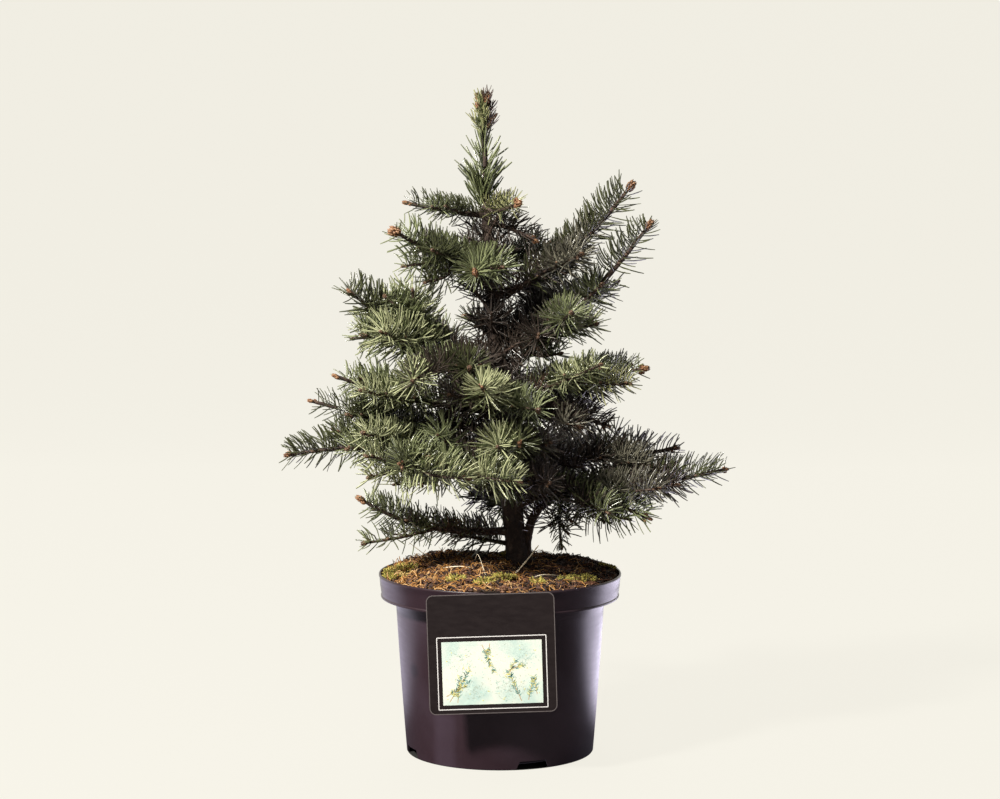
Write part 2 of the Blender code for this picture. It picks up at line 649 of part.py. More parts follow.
def build_boughs(wood, foliage, trunk_cutter):
    """All boughs and their masses of needles. Limbs take their space first, then twigs, then needles."""
    space = Space()
    shares = trunk_shares()
    space.take_path("trunk", [trunk_point(s) for s in shares], [trunk_radius(s) for s in shares])
    limbs, shoots = {}, {}
    for bough in BOUGHS:
        limbs[bough.name], paths = plan(bough, random.Random(bough.name))
        radius = limb_radius(bough)
        if bough.limb:
            end = radius * LIMB_TAPER
            radii = [radius + (end - radius) * k / LIMB_STEPS for k in range(LIMB_STEPS + 1)]
            space.take_path(f"bough_{bough.name}", limbs[bough.name], radii)
            radius = end
        radii = [radius + (BUD_RADIUS - radius) * k / STEM_STEPS for k in range(STEM_STEPS + 1)]
        space.take_path((bough.name, 0), paths[0], radii)
        shoots[bough.name] = paths
    for bough in BOUGHS:
        kept = shoots[bough.name][:1]
        for path in shoots[bough.name][1:]:
            own = {(bough.name, k) for k in range(len(kept))} | {f"bough_{bough.name}"}
            if all(space.is_clear(own, a, b, TWIG_RADIUS, BUD_RADIUS) for a, b in zip(path, path[1:])):
                space.take_path((bough.name, len(kept)), path, [TWIG_RADIUS] * TWIG_STEPS + [BUD_RADIUS])
                kept.append(path)
            else:
                print("twig skipped on", bough.name)
        shoots[bough.name] = plan_shoots(bough, kept)

    leader = plan_leader()
    candidates = [("leader", leader, site) for site in leader.sites()]
    for bough in BOUGHS:
        for k, shoot in enumerate(shoots[bough.name]):
            candidates += [((bough.name, k), shoot, site) for site in shoot.sites()]
    random.Random("needles").shuffle(candidates)
    kept = 0
    for owner, shoot, site in candidates:
        root, tip = shoot.needle(*site)
        out = root.lerp(tip, NEEDLE_FOOT)
        own = {owner, "trunk"} if shoot is leader else {owner}
        if over_soil(tip) and space.is_clear(own, out, tip, NEEDLE_RADIUS, 0):
            space.take(owner, out, tip, NEEDLE_RADIUS, 0)
            shoot.needles[site] = tip
            kept += 1
    print("needles kept:", kept, "of", len(candidates))

    build_mass("leader", [leader], foliage, trunk_cutter)
    for bough in BOUGHS:
        if bough.limb:
            build_limb(bough, limbs[bough.name], wood, trunk_cutter)
        build_mass(bough.name, shoots[bough.name], foliage, None if bough.limb else trunk_cutter)


def plan_leader():
    """The leader's needles stand on a green rind round the trunk's last stretch, with the bud on top."""
    height = TRUNK_TIP.z - TRUNK_FOOT.z
    shares = [1 - LEADER_GREEN / height, 1 - LEADER_GREEN / 2 / height, 1]
    points = [trunk_point(share) for share in shares]
    points[-1] = points[-1] + UP * BUD_LENGTH
    return Shoot(points, trunk_radius(shares[0]) + LEADER_SLEEVE, trunk_radius(1) + LEADER_SLEEVE,
                 sides=LEADER_SIDES, leans=LEADER_LEANS)


def build_limb(bough, points, mat, trunk_cutter):
    """A bare limb, cut to the trunk's side at its foot."""
    radius = limb_radius(bough)
    radii = [radius * (1 + (LIMB_TAPER - 1) * k / LIMB_STEPS) for k in range(LIMB_STEPS + 1)]
    end = heading(bough.azimuth, bough.level)
    limb = new_object(f"bough_{bough.name}", tube(points, radii, LIMB_SIDES, last=end), mat)
    add_boolean(limb, "DIFFERENCE", trunk_cutter)


def build_mass(name, shoots, mat, trunk_cutter):
    """One stem with its needles, and its twigs with theirs, joined into one body."""
    mass = new_object(f"needles_{name}", shoots[0].mesh(), mat)
    if shoots[1:]:
        joined = bpy.data.collections.new(f"twigs_{name}")
        bpy.context.scene.collection.children.link(joined)
        for shoot in shoots[1:]:
            new_object("twig", shoot.mesh(), mat, joined)
        add_boolean(mass, "UNION", joined)
    if trunk_cutter:
        add_boolean(mass, "DIFFERENCE", trunk_cutter)
    apply_modifiers(mass)
    if shoots[1:]:
        for obj in list(joined.objects):
            bpy.data.objects.remove(obj)
        bpy.data.collections.remove(joined)


def main():
    clear_scene()
    plastic = material("black_plastic", (0.035, 0.028, 0.036), 0.35)
    peat = material("peat_and_moss", (0.16, 0.1, 0.04), 0.95)
    print_black = material("printed_card", (0.02, 0.016, 0.018), 0.4)
    bark = material("bark", (0.1, 0.065, 0.045), 0.9)
    foliage = material("blue_green_needles", (0.12, 0.2, 0.14), 0.6)
    build_pot(plastic)
    build_soil(peat)
    build_card(print_black)
    new_object("trunk", trunk_tube(), bark)
    trunk_cutter = hide_cutter(new_object("trunk_cutter", trunk_tube(GAP), bark))
    build_boughs(bark, foliage, trunk_cutter)


main()
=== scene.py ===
import json
import math
import random

import bmesh
import bpy
import numpy as np
from mathutils import Matrix, Vector, noise

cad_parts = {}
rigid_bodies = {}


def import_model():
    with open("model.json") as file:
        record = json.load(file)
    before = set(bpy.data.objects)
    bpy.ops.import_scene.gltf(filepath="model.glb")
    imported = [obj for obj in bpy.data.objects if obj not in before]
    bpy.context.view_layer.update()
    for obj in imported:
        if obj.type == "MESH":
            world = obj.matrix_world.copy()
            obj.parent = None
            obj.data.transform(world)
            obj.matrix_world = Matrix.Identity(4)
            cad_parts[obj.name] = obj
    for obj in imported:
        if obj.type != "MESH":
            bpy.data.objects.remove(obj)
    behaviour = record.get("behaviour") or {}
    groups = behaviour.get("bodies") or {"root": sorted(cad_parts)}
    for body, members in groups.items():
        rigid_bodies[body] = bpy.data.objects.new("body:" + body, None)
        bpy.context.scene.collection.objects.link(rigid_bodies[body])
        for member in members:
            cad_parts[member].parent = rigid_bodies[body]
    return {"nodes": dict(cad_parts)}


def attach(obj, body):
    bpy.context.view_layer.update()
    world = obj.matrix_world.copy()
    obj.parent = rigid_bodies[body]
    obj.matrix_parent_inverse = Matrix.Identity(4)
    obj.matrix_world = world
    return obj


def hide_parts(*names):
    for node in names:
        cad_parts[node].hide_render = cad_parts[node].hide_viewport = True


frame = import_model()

mm = 0.001
up = Vector((0, 0, 1))
goldenTurn = 137.5
goldenAngle = math.radians(goldenTurn)
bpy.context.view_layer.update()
allNodes = sorted(frame["nodes"])
massNodes = [name for name in allNodes if name.startswith("needles_")]
boughNodes = [name for name in allNodes if name.startswith("bough_")]


# --- node trees written as sums

def sign(operation, swapped=False):
    # the method behind one sign between two terms
    def method(wire, other):
        return wire.graph.maths(operation, *((other, wire) if swapped else (wire, other)))
    return method


class Wire:
    # one node socket that can be added, multiplied and so on
    def __init__(self, graph, socket):
        self.graph, self.socket = graph, socket

    def out(self, name):
        return Wire(self.graph, pickSocket(self.socket.node.outputs, name))

    __add__ = __radd__ = sign("ADD")
    __mul__ = __rmul__ = sign("MULTIPLY")
    __sub__, __rsub__ = sign("SUBTRACT"), sign("SUBTRACT", True)
    __truediv__, __rtruediv__ = sign("DIVIDE"), sign("DIVIDE", True)
    __pow__, __gt__, __lt__ = sign("POWER"), sign("GREATER_THAN"), sign("LESS_THAN")


def pickSocket(sockets, key):
    for socket in sockets:
        if socket.enabled and key in (socket.name, socket.identifier):
            return socket
    raise KeyError(f"{key} isn't one of {[socket.name for socket in sockets]}")


def isVector(term):
    if isinstance(term, Wire):
        return term.socket.type in ("VECTOR", "RGBA")
    return isinstance(term, (tuple, Vector))


class Graph:
    def __init__(self, tree):
        self.tree = tree

    def node(self, kind, settings=None, values=None):
        # settings are the node's own, values go to its sockets
        node = self.tree.nodes.new(kind)
        for name, value in (settings or {}).items():
            if name == "stops":
                ramp = node.color_ramp.elements
                while len(ramp) < len(value):
                    ramp.new(0.5)
                for stop, (place, colour) in zip(ramp, value):
                    stop.position = place
                    stop.color = (*colour, 1)
            else:
                setattr(node, name, value)
        for name, value in (values or {}).items():
            self.feed(pickSocket(node.inputs, name), value)
        outputs = [socket for socket in node.outputs if socket.enabled]
        return Wire(self, outputs[0]) if outputs else node

    def feed(self, socket, value):
        if isinstance(value, Wire):
            self.tree.links.new(value.socket, socket)
        elif socket.type == "RGBA" and len(value) == 3:
            socket.default_value = (*value, 1)
        else:
            socket.default_value = value

    def maths(self, operation, a, b=None):
        # Vector Math as soon as one term is a vector
        if not isVector(a) and not isVector(b):
            node = self.tree.nodes.new("ShaderNodeMath")
            node.operation = operation
            sockets = node.inputs
        else:
            node = self.tree.nodes.new("ShaderNodeVectorMath")
            scaled = operation == "MULTIPLY" and isVector(a) != isVector(b)
            node.operation = "SCALE" if scaled else operation
            if scaled and not isVector(a):
                a, b = b, a
            sockets = [node.inputs[0], node.inputs["Scale"] if scaled else node.inputs[1]]
        for socket, value in zip(sockets, (a, b)):
            if value is not None:
                self.feed(socket, value)
        return Wire(self, next(socket for socket in node.outputs if socket.enabled))

    def clamp(self, value, low=0.0, high=1.0):
        return self.node("ShaderNodeClamp", {}, {"Value": value, "Min": low, "Max": high})


class GeometryGraph(Graph):
    # a Geometry Nodes tree with named inputs: {name: (socket type, value)}
    def __init__(self, name, inputs):
        super().__init__(bpy.data.node_groups.new(name, "GeometryNodeTree"))
        face = self.tree.interface
        face.new_socket("Geometry", in_out="INPUT", socket_type="NodeSocketGeometry")
        for label, (kind, value) in inputs.items():
            item = face.new_socket(label, in_out="INPUT", socket_type="NodeSocket" + kind)
            if value is not None:
                item.default_value = value
        face.new_socket("Geometry", in_out="OUTPUT", socket_type="NodeSocketGeometry")
        self.geometry = self.node("NodeGroupInput")
        self.given = {label: self.geometry.out(label) for label in inputs}

    def named(self, name, kind="FLOAT"):
        return self.node("GeometryNodeInputNamedAttribute", {"data_type": kind}, {"Name": name})

    def chance(self, low, high, seed=0, group=None):
        # one value per point, or per group of points
        values = {"Min": low, "Max": high, "Seed": self.given["Seed"] + seed}
        if group is not None:
            values["ID"] = group
        return self.node("FunctionNodeRandomValue", {"data_type": "FLOAT"}, values)

    def finish(self, geometry, material):
        real = self.node("GeometryNodeRealizeInstances", {}, {"Geometry": geometry})
        smooth = self.node("GeometryNodeSetShadeSmooth", {}, {"Geometry": real})
        painted = self.node("GeometryNodeSetMaterial", {}, {"Geometry": smooth, "Material": material})
        self.node("NodeGroupOutput", {}, {"Geometry": painted})


def growPiece(piece, graph, settings):
    # the modifier's result as a plain mesh
    modifier = piece.modifiers.new("grow", "NODES")
    modifier.node_group = graph.tree
    for item in graph.tree.interface.items_tree:
        if item.in_out == "INPUT" and item.name in settings:
            modifier[item.identifier] = settings[item.name]
    depsgraph = bpy.context.evaluated_depsgraph_get()
    made = bpy.data.meshes.new_from_object(piece.evaluated_get(depsgraph))
    piece.modifiers.remove(modifier)
    piece.data = made
    for mark in growthMarks:
        if mark in made.attributes:
            made.attributes.remove(made.attributes[mark])
    return piece


growthMarks = ("heading", "thickness", "needleLength", "lean", "lift", "bareness", "size", "favour")


def newPiece(name, mesh):
    piece = bpy.data.objects.new(name, mesh)
    bpy.context.scene.collection.objects.link(piece)
    return piece


def meshFrom(name, points, faces=(), edges=()):
    mesh = bpy.data.meshes.new(name)
    mesh.from_pydata([tuple(point) for point in points], edges, faces)
    mesh.update()
    return mesh


def mark(mesh, name, values):
    # a value for every point, or a direction
    kind, part = ("FLOAT_VECTOR", "vector") if name == "heading" else ("FLOAT", "value")
    mesh.attributes.new(name, kind, "POINT").data.foreach_set(part, values)


def meshOf(name, bm):
    mesh = bpy.data.meshes.new(name)
    bm.to_mesh(mesh)
    bm.free()
    return mesh


def thicken(bm, faces, way):
    # draws the faces out into closed plates
    grown = bmesh.ops.extrude_face_region(bm, geom=faces)["geom"]
    moved = [item for item in grown if isinstance(item, bmesh.types.BMVert)]
    bmesh.ops.translate(bm, verts=moved, vec=way)
    bmesh.ops.recalc_face_normals(bm, faces=bm.faces)


def countFaces(piece):
    return sum(len(face.vertices) - 2 for face in piece.data.polygons)


def settle(piece, slot, *nodes, finish=None):
    # every piece rides on the one body and may stand for nodes
    if finish:
        piece.data.materials.append(finish.material)
    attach(piece, "root")
    if nodes:
        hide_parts(*nodes)
    print(piece.name, countFaces(piece), "triangles")


# --- materials

class Finish(Graph):
    # a Principled material; its noise and mixes read Object coordinates
    def __init__(self, name, roughness=0.5, **values):
        self.material = bpy.data.materials.new(name)
        self.material.use_nodes = True
        super().__init__(self.material.node_tree)
        self.shader = self.tree.nodes["Principled BSDF"]
        self.place = self.node("ShaderNodeTexCoord").out("Object")
        self.set(Roughness=roughness, **values)

    def set(self, **values):
        for name, value in values.items():
            spaced = "".join(" " + letter if letter.isupper() else letter for letter in name).strip()
            self.feed(pickSocket(self.shader.inputs, spaced), value)

    def noise(self, scale, detail=3.0, stretch=(1, 1, 1)):
        place = self.place
        if stretch != (1, 1, 1):
            place = self.node("ShaderNodeMapping", {}, {"Vector": place, "Scale": stretch})
        return self.node("ShaderNodeTexNoise", {}, {"Vector": place, "Scale": scale, "Detail": detail})

    def ramp(self, value, *stops):
        return self.node("ShaderNodeValToRGB", {"stops": stops}, {"Fac": value})

    def mix(self, factor, a, b, blend="MIX"):
        settings = {"data_type": "RGBA", "blend_type": blend}
        return self.node("ShaderNodeMix", settings, {"Factor": factor, "A": a, "B": b})

    def join(self, kind, first, second, factor=None):
        # two shaders added, or mixed by the factor
        both = self.node(kind, {}, {} if factor is None else {"Fac": factor})
        for socket, value in zip(both.socket.node.inputs[-2:], (first, second)):
            self.feed(socket, value)
        return both

    def bump(self, height, distance, strength=1.0):
        values = {"Height": height, "Distance": distance, "Strength": strength}
        self.set(Normal=self.node("ShaderNodeBump", {}, values))


# --- how the plant grows

trunkShape = {
    "foot": Vector((18, 18, 170)) * mm,
    "tip": Vector((-15, 4, 600)) * mm,
    "footRadius": 10.5 * mm,
    "neckRadius": 3.4 * mm,  # where the last year's leader starts
    "neckStep": 0.8 * mm,
    "tipRadius": 2 * mm,
    "leader": 98 * mm,
    "flare": 4 * mm,
    "flareHeight": 9 * mm,
    "bow": 1.75,
}
soilShape = {"rim": 112.5 * mm, "edge": 163 * mm, "crown": 172 * mm, "ripple": 1.3 * mm}

# A bough: its name, the height of its foot, its azimuth, how steeply it climbs at its foot, where its
# needles start and at its tip, the lengths of its bare limb and of its needled stem, and its twigs.
# A twig: the share of the stem where it leaves, its turn and climb from the stem's, and its length.
# Heights and lengths are in millimetres, angles in degrees.
pair = ((0.25, -42, 2, 50), (0.32, 44, 0, 48))
fan = ((0.12, 48, 2, 58), (0.2, -46, 0, 60), (0.5, 40, 4, 44))

boughTable = (
    # Top whorl, straight from the trunk
    ("top_left", 497, 190, 6, 9, 13, 0, 74, ()),
    ("top_front_right", 501, -65, 2, 6, 14, 0, 67, ()),
    ("top_low_right", 490, -25, -8, -18, -28, 0, 50, ()),
    ("top_back", 499, 75, 4, 8, 16, 0, 62, ()),
    # Upper whorl
    ("upper_left", 450, 213, 9, 19, 30, 0, 105, ((0.36, 40, -14, 44),)),
    ("upper_front", 454, -98, -6, -3, 0, 0, 85, ((0.45, 48, 0, 32),)),
    ("upper_right", 423, -5, 17, 36, 54, 46, 118, ((0.03, -48, -20, 56), (0.1, 48, -20, 50))),
    ("upper_back_right", 446, 50, 6, 22, 40, 0, 76, ((0.4, -40, -8, 40),)),
    ("upper_back_left", 441, 136, 6, 19, 32, 0, 86, ((0.4, -42, -8, 42), (0.48, 44, -4, 38))),
    # Shoulder
    ("shoulder_right", 350, -11, 38, 42, 54, 58, 138,
          ((0.03, -16, -32, 58), (0.05, -76, -30, 76), (0.26, 46, -22, 58), (0.36, -44, -16, 44))),
    ("shoulder_left", 344, 197, 20, 30, 40, 42, 122,
          ((0.2, 44, -18, 80), (0.28, 15, -26, 64), (0.35, 72, 34, 50), (0.38, -44, -8, 52))),
    ("shoulder_back", 387, 114, 12, 11, 10, 0, 66, ()),
    ("shoulder_back_right", 366, 40, 36, 34, 32, 30, 76, pair),
    ("shoulder_back_left", 336, 148, 30, 31, 32, 30, 90, pair),
    # Middle
    ("middle_front_left", 363, 239, -4, 2, -6, 32, 104, ((0.26, 46, 0, 48), (0.34, -46, 4, 44))),
    ("middle_left", 315, 198, 8, 9, 22, 36, 124, ((0.24, 29, -3, 84), (0.34, -42, -2, 58))),
    ("middle_far_left", 298, 182, 7, 4, 16, 42, 135, ((0.32, -40, 2, 56), (0.42, 38, -4, 50))),
    ("middle_right", 326, -17, 22, 14, 10, 34, 104,
          ((0.1, -41, 2, 82), (0.33, -18, -14, 62), (0.28, 44, -6, 58))),
    ("middle_front", 316, -97, 15, 15, 15, 36, 103, ((0.14, 48, -18, 66), (0.27, -48, -10, 50))),
    ("middle_low_right", 304, 4, 20, 0, -24, 0, 96, ((0.36, -46, -4, 54), (0.44, 42, 0, 50))),
    ("middle_back_right", 310, 38, 8, 12, 20, 40, 118, fan),
    ("middle_back_left", 302, 100, 8, 12, 20, 42, 120, fan),
    # Lower
    ("lower_left", 276, 191, 7, 7, -9, 48, 152,
          ((0.16, 48, 7, 88), (0.32, 36, -4, 62), (0.38, -40, 6, 60))),
    ("lower_front_left", 254, 233, 8, 11, 11, 42, 116, ((0.17, -41, -2, 94), (0.46, 40, 0, 44))),
    ("lower_front", 246, -91, 8, 12, 20, 38, 78, ((0.15, 48, -10, 56), (0.44, -50, -6, 38))),
    ("lower_mid_front", 278, -84, 11, 11, 11, 0, 116, ((0.42, 46, -6, 50), (0.5, -42, -2, 40))),
    ("lower_right", 268, 5, -3, 2, 10, 42, 114,
          ((0.38, -35, -14, 48), (0.33, 47, 26, 42), (0.56, 40, 2, 40))),
    ("lower_far_right", 176, -4, 86, 6, 13, 76, 154,
          ((0.12, -44, -2, 92), (0.16, 40, 2, 64), (0.42, -36, -6, 50), (0.46, 38, 2, 46))),
    ("lower_hanging_right", 226, -21, 30, 0, -22, 40, 96,
          ((0.06, -75, -66, 50), (0.2, -44, -8, 58), (0.34, 40, 4, 48))),
    ("lower_back_right", 246, 60, 2, 6, 14, 42, 134, fan),
    ("lower_back_left", 252, 130, 2, 6, 14, 44, 132, fan),
    # Skirt, just over the soil
    ("skirt_left", 203, 195, 0, 7, 34, 54, 94, ((0.17, 10, -25, 72), (0.44, -44, -8, 40))),
    ("skirt_back", 222, 96, -2, 0, 8, 0, 98, ((0.42, 46, 0, 46), (0.5, -44, 0, 44))),
    ("skirt_small", 190, 156, 4, 4, 8, 0, 52, ()),
)


def trunkHeight():
    return trunkShape["tip"].z - trunkShape["foot"].z


def trunkRadius(share):
    shape = trunkShape
    neck = 1 - shape["leader"] / trunkHeight()
    steps = (0, neck, neck + 0.02, 1)
    neckRadius = shape["neckRadius"]
    radii = (shape["footRadius"], neckRadius + shape["neckStep"], neckRadius, shape["tipRadius"])
    flare = shape["flare"] * math.exp(-share * trunkHeight() / shape["flareHeight"])
    return float(np.interp(share, steps, radii)) + flare


def trunkPoint(share):
    # leans left from its foot and straightens towards the leader
    foot, tip = trunkShape["foot"], trunkShape["tip"]
    bow = (1 - share) ** trunkShape["bow"]
    return Vector((tip.x + (foot.x - tip.x) * bow, tip.y + (foot.y - tip.y) * (1 - share),
                   foot.z + trunkHeight() * share))


def trunkShare(height):
    return (height - trunkShape["foot"].z) / trunkHeight()


def heading(azimuth, climb):
    azimuth, climb = math.radians(azimuth), math.radians(climb)
    return Vector((math.cos(azimuth) * math.cos(climb), math.sin(azimuth) * math.cos(climb), math.sin(climb)))


def grow(start, azimuths, climbs, length, steps, bend=1):
    points = [start.copy()]
    for k in range(steps):
        share = (k + 0.5) / steps
        azimuth = azimuths[0] + (azimuths[1] - azimuths[0]) * share
        climb = climbs[0] + (climbs[1] - climbs[0]) * share**bend
        points.append(points[-1] + heading(azimuth, climb) * (length / steps))
    return points


def pathLength(points):
    return sum((b - a).length for a, b in zip(points, points[1:]))


def pointAlong(points, share):
    left = share * pathLength(points)
    for a, b in zip(points, points[1:]):
        length = (b - a).length
        if left <= length or b is points[-1]:
            return a + (b - a) * (left / length)
        left -= length


def smoothPath(points, step=2.5 * mm):
    # a curve through the points, with a point about every step
    ends = [points[0] * 2 - points[1], *points, points[-1] * 2 - points[-2]]
    path = []
    for a, b, c, d in zip(ends, ends[1:], ends[2:], ends[3:]):
        count = max(2, round((c - b).length / step))
        for k in range(count):
            t = k / count
            path.append((b * 2 + (c - a) * t + (a * 2 - b * 5 + c * 4 - d) * t**2
                         + (b * 3 - a - c * 3 + d) * t**3) / 2)
    return path + [points[-1].copy()]


def soilLevel(x, y):
    reach = math.hypot(x, y) / soilShape["rim"]
    azimuth = math.atan2(y, x)
    wave = math.sin(3 * azimuth + 0.6) + 0.6 * math.sin(7 * azimuth)
    mound = (soilShape["crown"] - soilShape["edge"]) * max(0.0, 1 - reach**2)
    return soilShape["edge"] + mound + soilShape["ripple"] * reach * wave


shootShape = {
    "stemTip": 1.5 * mm,  # radius of a stem's tip
    "twigFoot": 1.7 * mm,
    "twigTip": 1.2 * mm,
    "bareLimb": 0.72,  # share of a limb without needles
    "bareStart": 3 * mm,
    "climbStray": (-2, 2),  # degrees
    "turnStray": (-3, 3),
    "turnBack": 0.25,  # share of its turn that a twig gives back towards its tip
    "upturn": 8,  # degrees that its tip climbs more than its foot
    "bud": 0.58,
    "hangsFrom": 0.75,  # a shoot whose tip is lower than its foot by this share of its length hangs
    # share of the shoot, degrees between needle and shoot
    "leans": ((0, 84), (0.8, 78), (0.94, 68), (1, 58)),
    "lift": 0.72,  # how strongly needles are combed towards the sky
    "needle": 24 * mm,
    # share of the shoot and of a full needle
    "reach": ((0, 0.9), (0.3, 1), (0.8, 1), (0.94, 0.85), (1, 0.58)),
    "missing": {"inner": 0.48, "side": 0.1},  # share of the needles, 0.02 on other shoots
}
# finer shoots: shares of the parent, lengths in millimetres, turns and climbs from the parent's in degrees
sideShape = {
    "stemShares": (0.14, 0.24, 0.36, 0.47),
    "stemLengths": (17, 30),
    "stemTurns": (36, 52),
    "stemClimbs": (-6, 10),
    "longStem": 70,  # shorter ones have none
    "apart": 0.05,  # share of the stem kept free beside a twig
    "twigShares": (0.2, 0.38, 0.56),
    "twigLengths": (14, 22),
    "twigTurns": (38, 50),
    "twigClimb": 4,
    "longTwig": 44,
    "limbShares": (0.28, 0.42, 0.56, 0.7, 0.82, 0.95),
    "limbLengths": (22, 40),
    "limbTurns": (30, 62),
    "limbClimbs": (-12, 26),
    "climbs": (-40, 60),  # the lowest and the highest of all
    "buds": (0.3, 0.42),
    "radius": 1.2 * mm,
    "twigRadius": 1.1 * mm,
}
# short shoots on the trunk itself, sized in the same way
trunkShootShape = {
    "heights": (232, 482),
    "count": 58,
    "lengths": (18, 40),
    "turns": (-14, 14),
    "climbs": (14, 38),
    "radii": (1.3 * mm, 1.0 * mm),
    "bud": 0.35,
    "bareStart": 2 * mm,
}
hangingShape = {"vigour": 0.56, "tone": "blue", "leans": ((0, 60), (1, 42))}

# the buds that stand out, as shares of a full one
budSizes = {"upper_left": 1.2, "upper_right": 1.1, "shoulder_right": 1.05, "top_front_right": 0.85,
            "upper_front": 0.9, "skirt_left": 0.85, "middle_right": 0.8, "lower_left": 0.7}


def limbRadius(limb, stem):
    return (1.3 + 0.0155 * (limb + stem)) * mm


def shoot(kind, path, radii, budSize, needleFrom=0.0, shape=shootShape):
    # needleFrom: how far from its root the needles start
    missing = shootShape["missing"].get(kind, 0.02)
    gaps = shape.get("gaps", ((0, missing), (1, missing)))
    return {"kind": kind, "path": path, "radii": radii, "bud": budSize, "needleFrom": needleFrom,
            "vigour": 1.0, "leans": shape["leans"], "reach": shape["reach"], "gaps": gaps}


def twigShoot(path, budSize):
    radii = (shootShape["twigFoot"], shootShape["twigTip"])
    return shoot("twig", path, radii, budSize, shootShape["bareStart"])


def sideShoot(kind, rng, parentPath, share, turn, lift, length, radius):
    # a finer shoot that leaves its parent at a share, turned and lifted from the parent's own way
    foot = pointAlong(parentPath, share)
    ahead = (pointAlong(parentPath, min(1, share + 0.06)) - foot).normalized()
    azimuth = math.degrees(math.atan2(ahead.y, ahead.x)) + turn
    lowest, highest = sideShape["climbs"]
    climb = max(lowest, min(highest, math.degrees(math.asin(ahead.z)) * 0.7 + lift))
    path = grow(foot, (azimuth, azimuth - turn * 0.25), (climb, climb + 10), length * mm, 3)
    bud = rng.uniform(*sideShape["buds"])
    return shoot(kind, smoothPath(path), (radius, radius * 0.8), bud, shootShape["bareStart"])


# gaps that let the sky through, seen from the front: x, height and radius in millimetres
openings = (
    (141, 301, 15), (151, 478, 12), (100, 407, 12), (-61, 233, 9), (-101, 502, 15), (-164, 348, 15),
    (143, 359, 15), (39, 488, 9), (132, 541, 14), (106, 381, 15), (156, 220, 15), (-183, 336, 15),
    (-42, 400, 12), (-142, 245, 15), (-96, 519, 15), (-202, 280, 7), (-33, 386, 8), (-116, 216, 6),
    (24, 528, 15), (123, 428, 15), (72, 197, 9), (-28, 417, 6), (-42, 230, 7), (-53, 422, 7),
    (162, 301, 15), (-29, 560, 6), (123, 306, 9), (-151, 339, 7), (95, 198, 9), (-119, 366, 6),
    (120, 197, 12), (39, 209, 6), (-139, 400, 7), (81, 375, 6), (-69, 191, 6), (-151, 372, 15),
    (-108, 453, 12), (-71, 534, 15), (108, 415, 12), (148, 466, 13), (-85, 186, 4), (9, 570, 15),
    (-126, 182, 9), (197, 239, 15), (-135, 301, 4), (-39, 522, 7), (72, 375, 6), (101, 315, 4),
    (-137, 219, 12), (139, 517, 13), (-70, 232, 6), (39, 479, 6), (-80, 233, 4), (92, 378, 7),
    (6, 523, 6), (211, 284, 12), (-108, 212, 4), (224, 263, 12), (-128, 367, 6), (124, 383, 15),
    (-111, 366, 6), (39, 503, 15), (-51, 533, 15), (-146, 207, 15), (-106, 444, 9), (114, 541, 12),
    (142, 217, 6), (-44, 574, 15), (-123, 216, 6), (-36, 481, 6), (-55, 480, 5), (84, 470, 7),
    (100, 440, 8), (5, 198, 5), (84, 299, 8), (-152, 415, 9), (141, 456, 12), (61, 374, 5),
    (-41, 240, 6), (70, 203, 5), (-53, 229, 6), (-37, 413, 7), (-101, 208, 5), (-110, 475, 9),
    (125, 504, 7), (-105, 216, 6), (-92, 212, 5), (9, 451, 4), (-30, 376, 5), (-150, 401, 15),
    (117, 498, 6), (-85, 495, 4), (147, 230, 6), (125, 446, 6), (-34, 394, 7),
)
eye = Vector((0, -2500, 595)) * mm
# how long the needles of some boughs are
vigours = {"top_left": 0.74, "top_front_right": 0.72, "top_back": 0.6, "top_low_right": 0.85,
           "upper_right": 1.06, "shoulder_left": 1.25, "middle_right": 0.84, "middle_left": 0.86,
           "middle_far_left": 0.86, "skirt_left": 0.82, "shoulder_back": 0.7, "upper_back_right": 0.8}
# painted shade: the stems of these boughs take dark green, as they lie in shade
shadedBoughs = ("upper_right", "shoulder_right", "lower_far_right", "lower_left", "middle_far_left")
clipShape = {
    "rim": 0.5,  # width of the soft rim round an opening, as a share of its radius
    "limit": 0.8,  # how open it is where a shoot's tip may not stand
    "shortest": 9 * mm,
}


def openness(point):
    # one or more inside an opening, falling to nothing outside its rim
    scale = -eye.y / (point.y - eye.y)
    x, height = point.x * scale, eye.z + (point.z - eye.z) * scale
    open, rim = 0.0, clipShape["rim"]
    for spotX, spotHeight, radius in openings:
        away = math.hypot(x - spotX * mm, height - spotHeight * mm) / (radius * mm)
        open = max(open, (1 + rim - away) / rim)
    return open


def clipShoot(one):
    # a fine shoot ends before the opening that its tip would stand in
    path = one["path"]
    if one["kind"] != "stem":
        while len(path) > 2 and openness(path[-1]) > clipShape["limit"]:
            path.pop()
    return pathLength(path) > clipShape["shortest"]


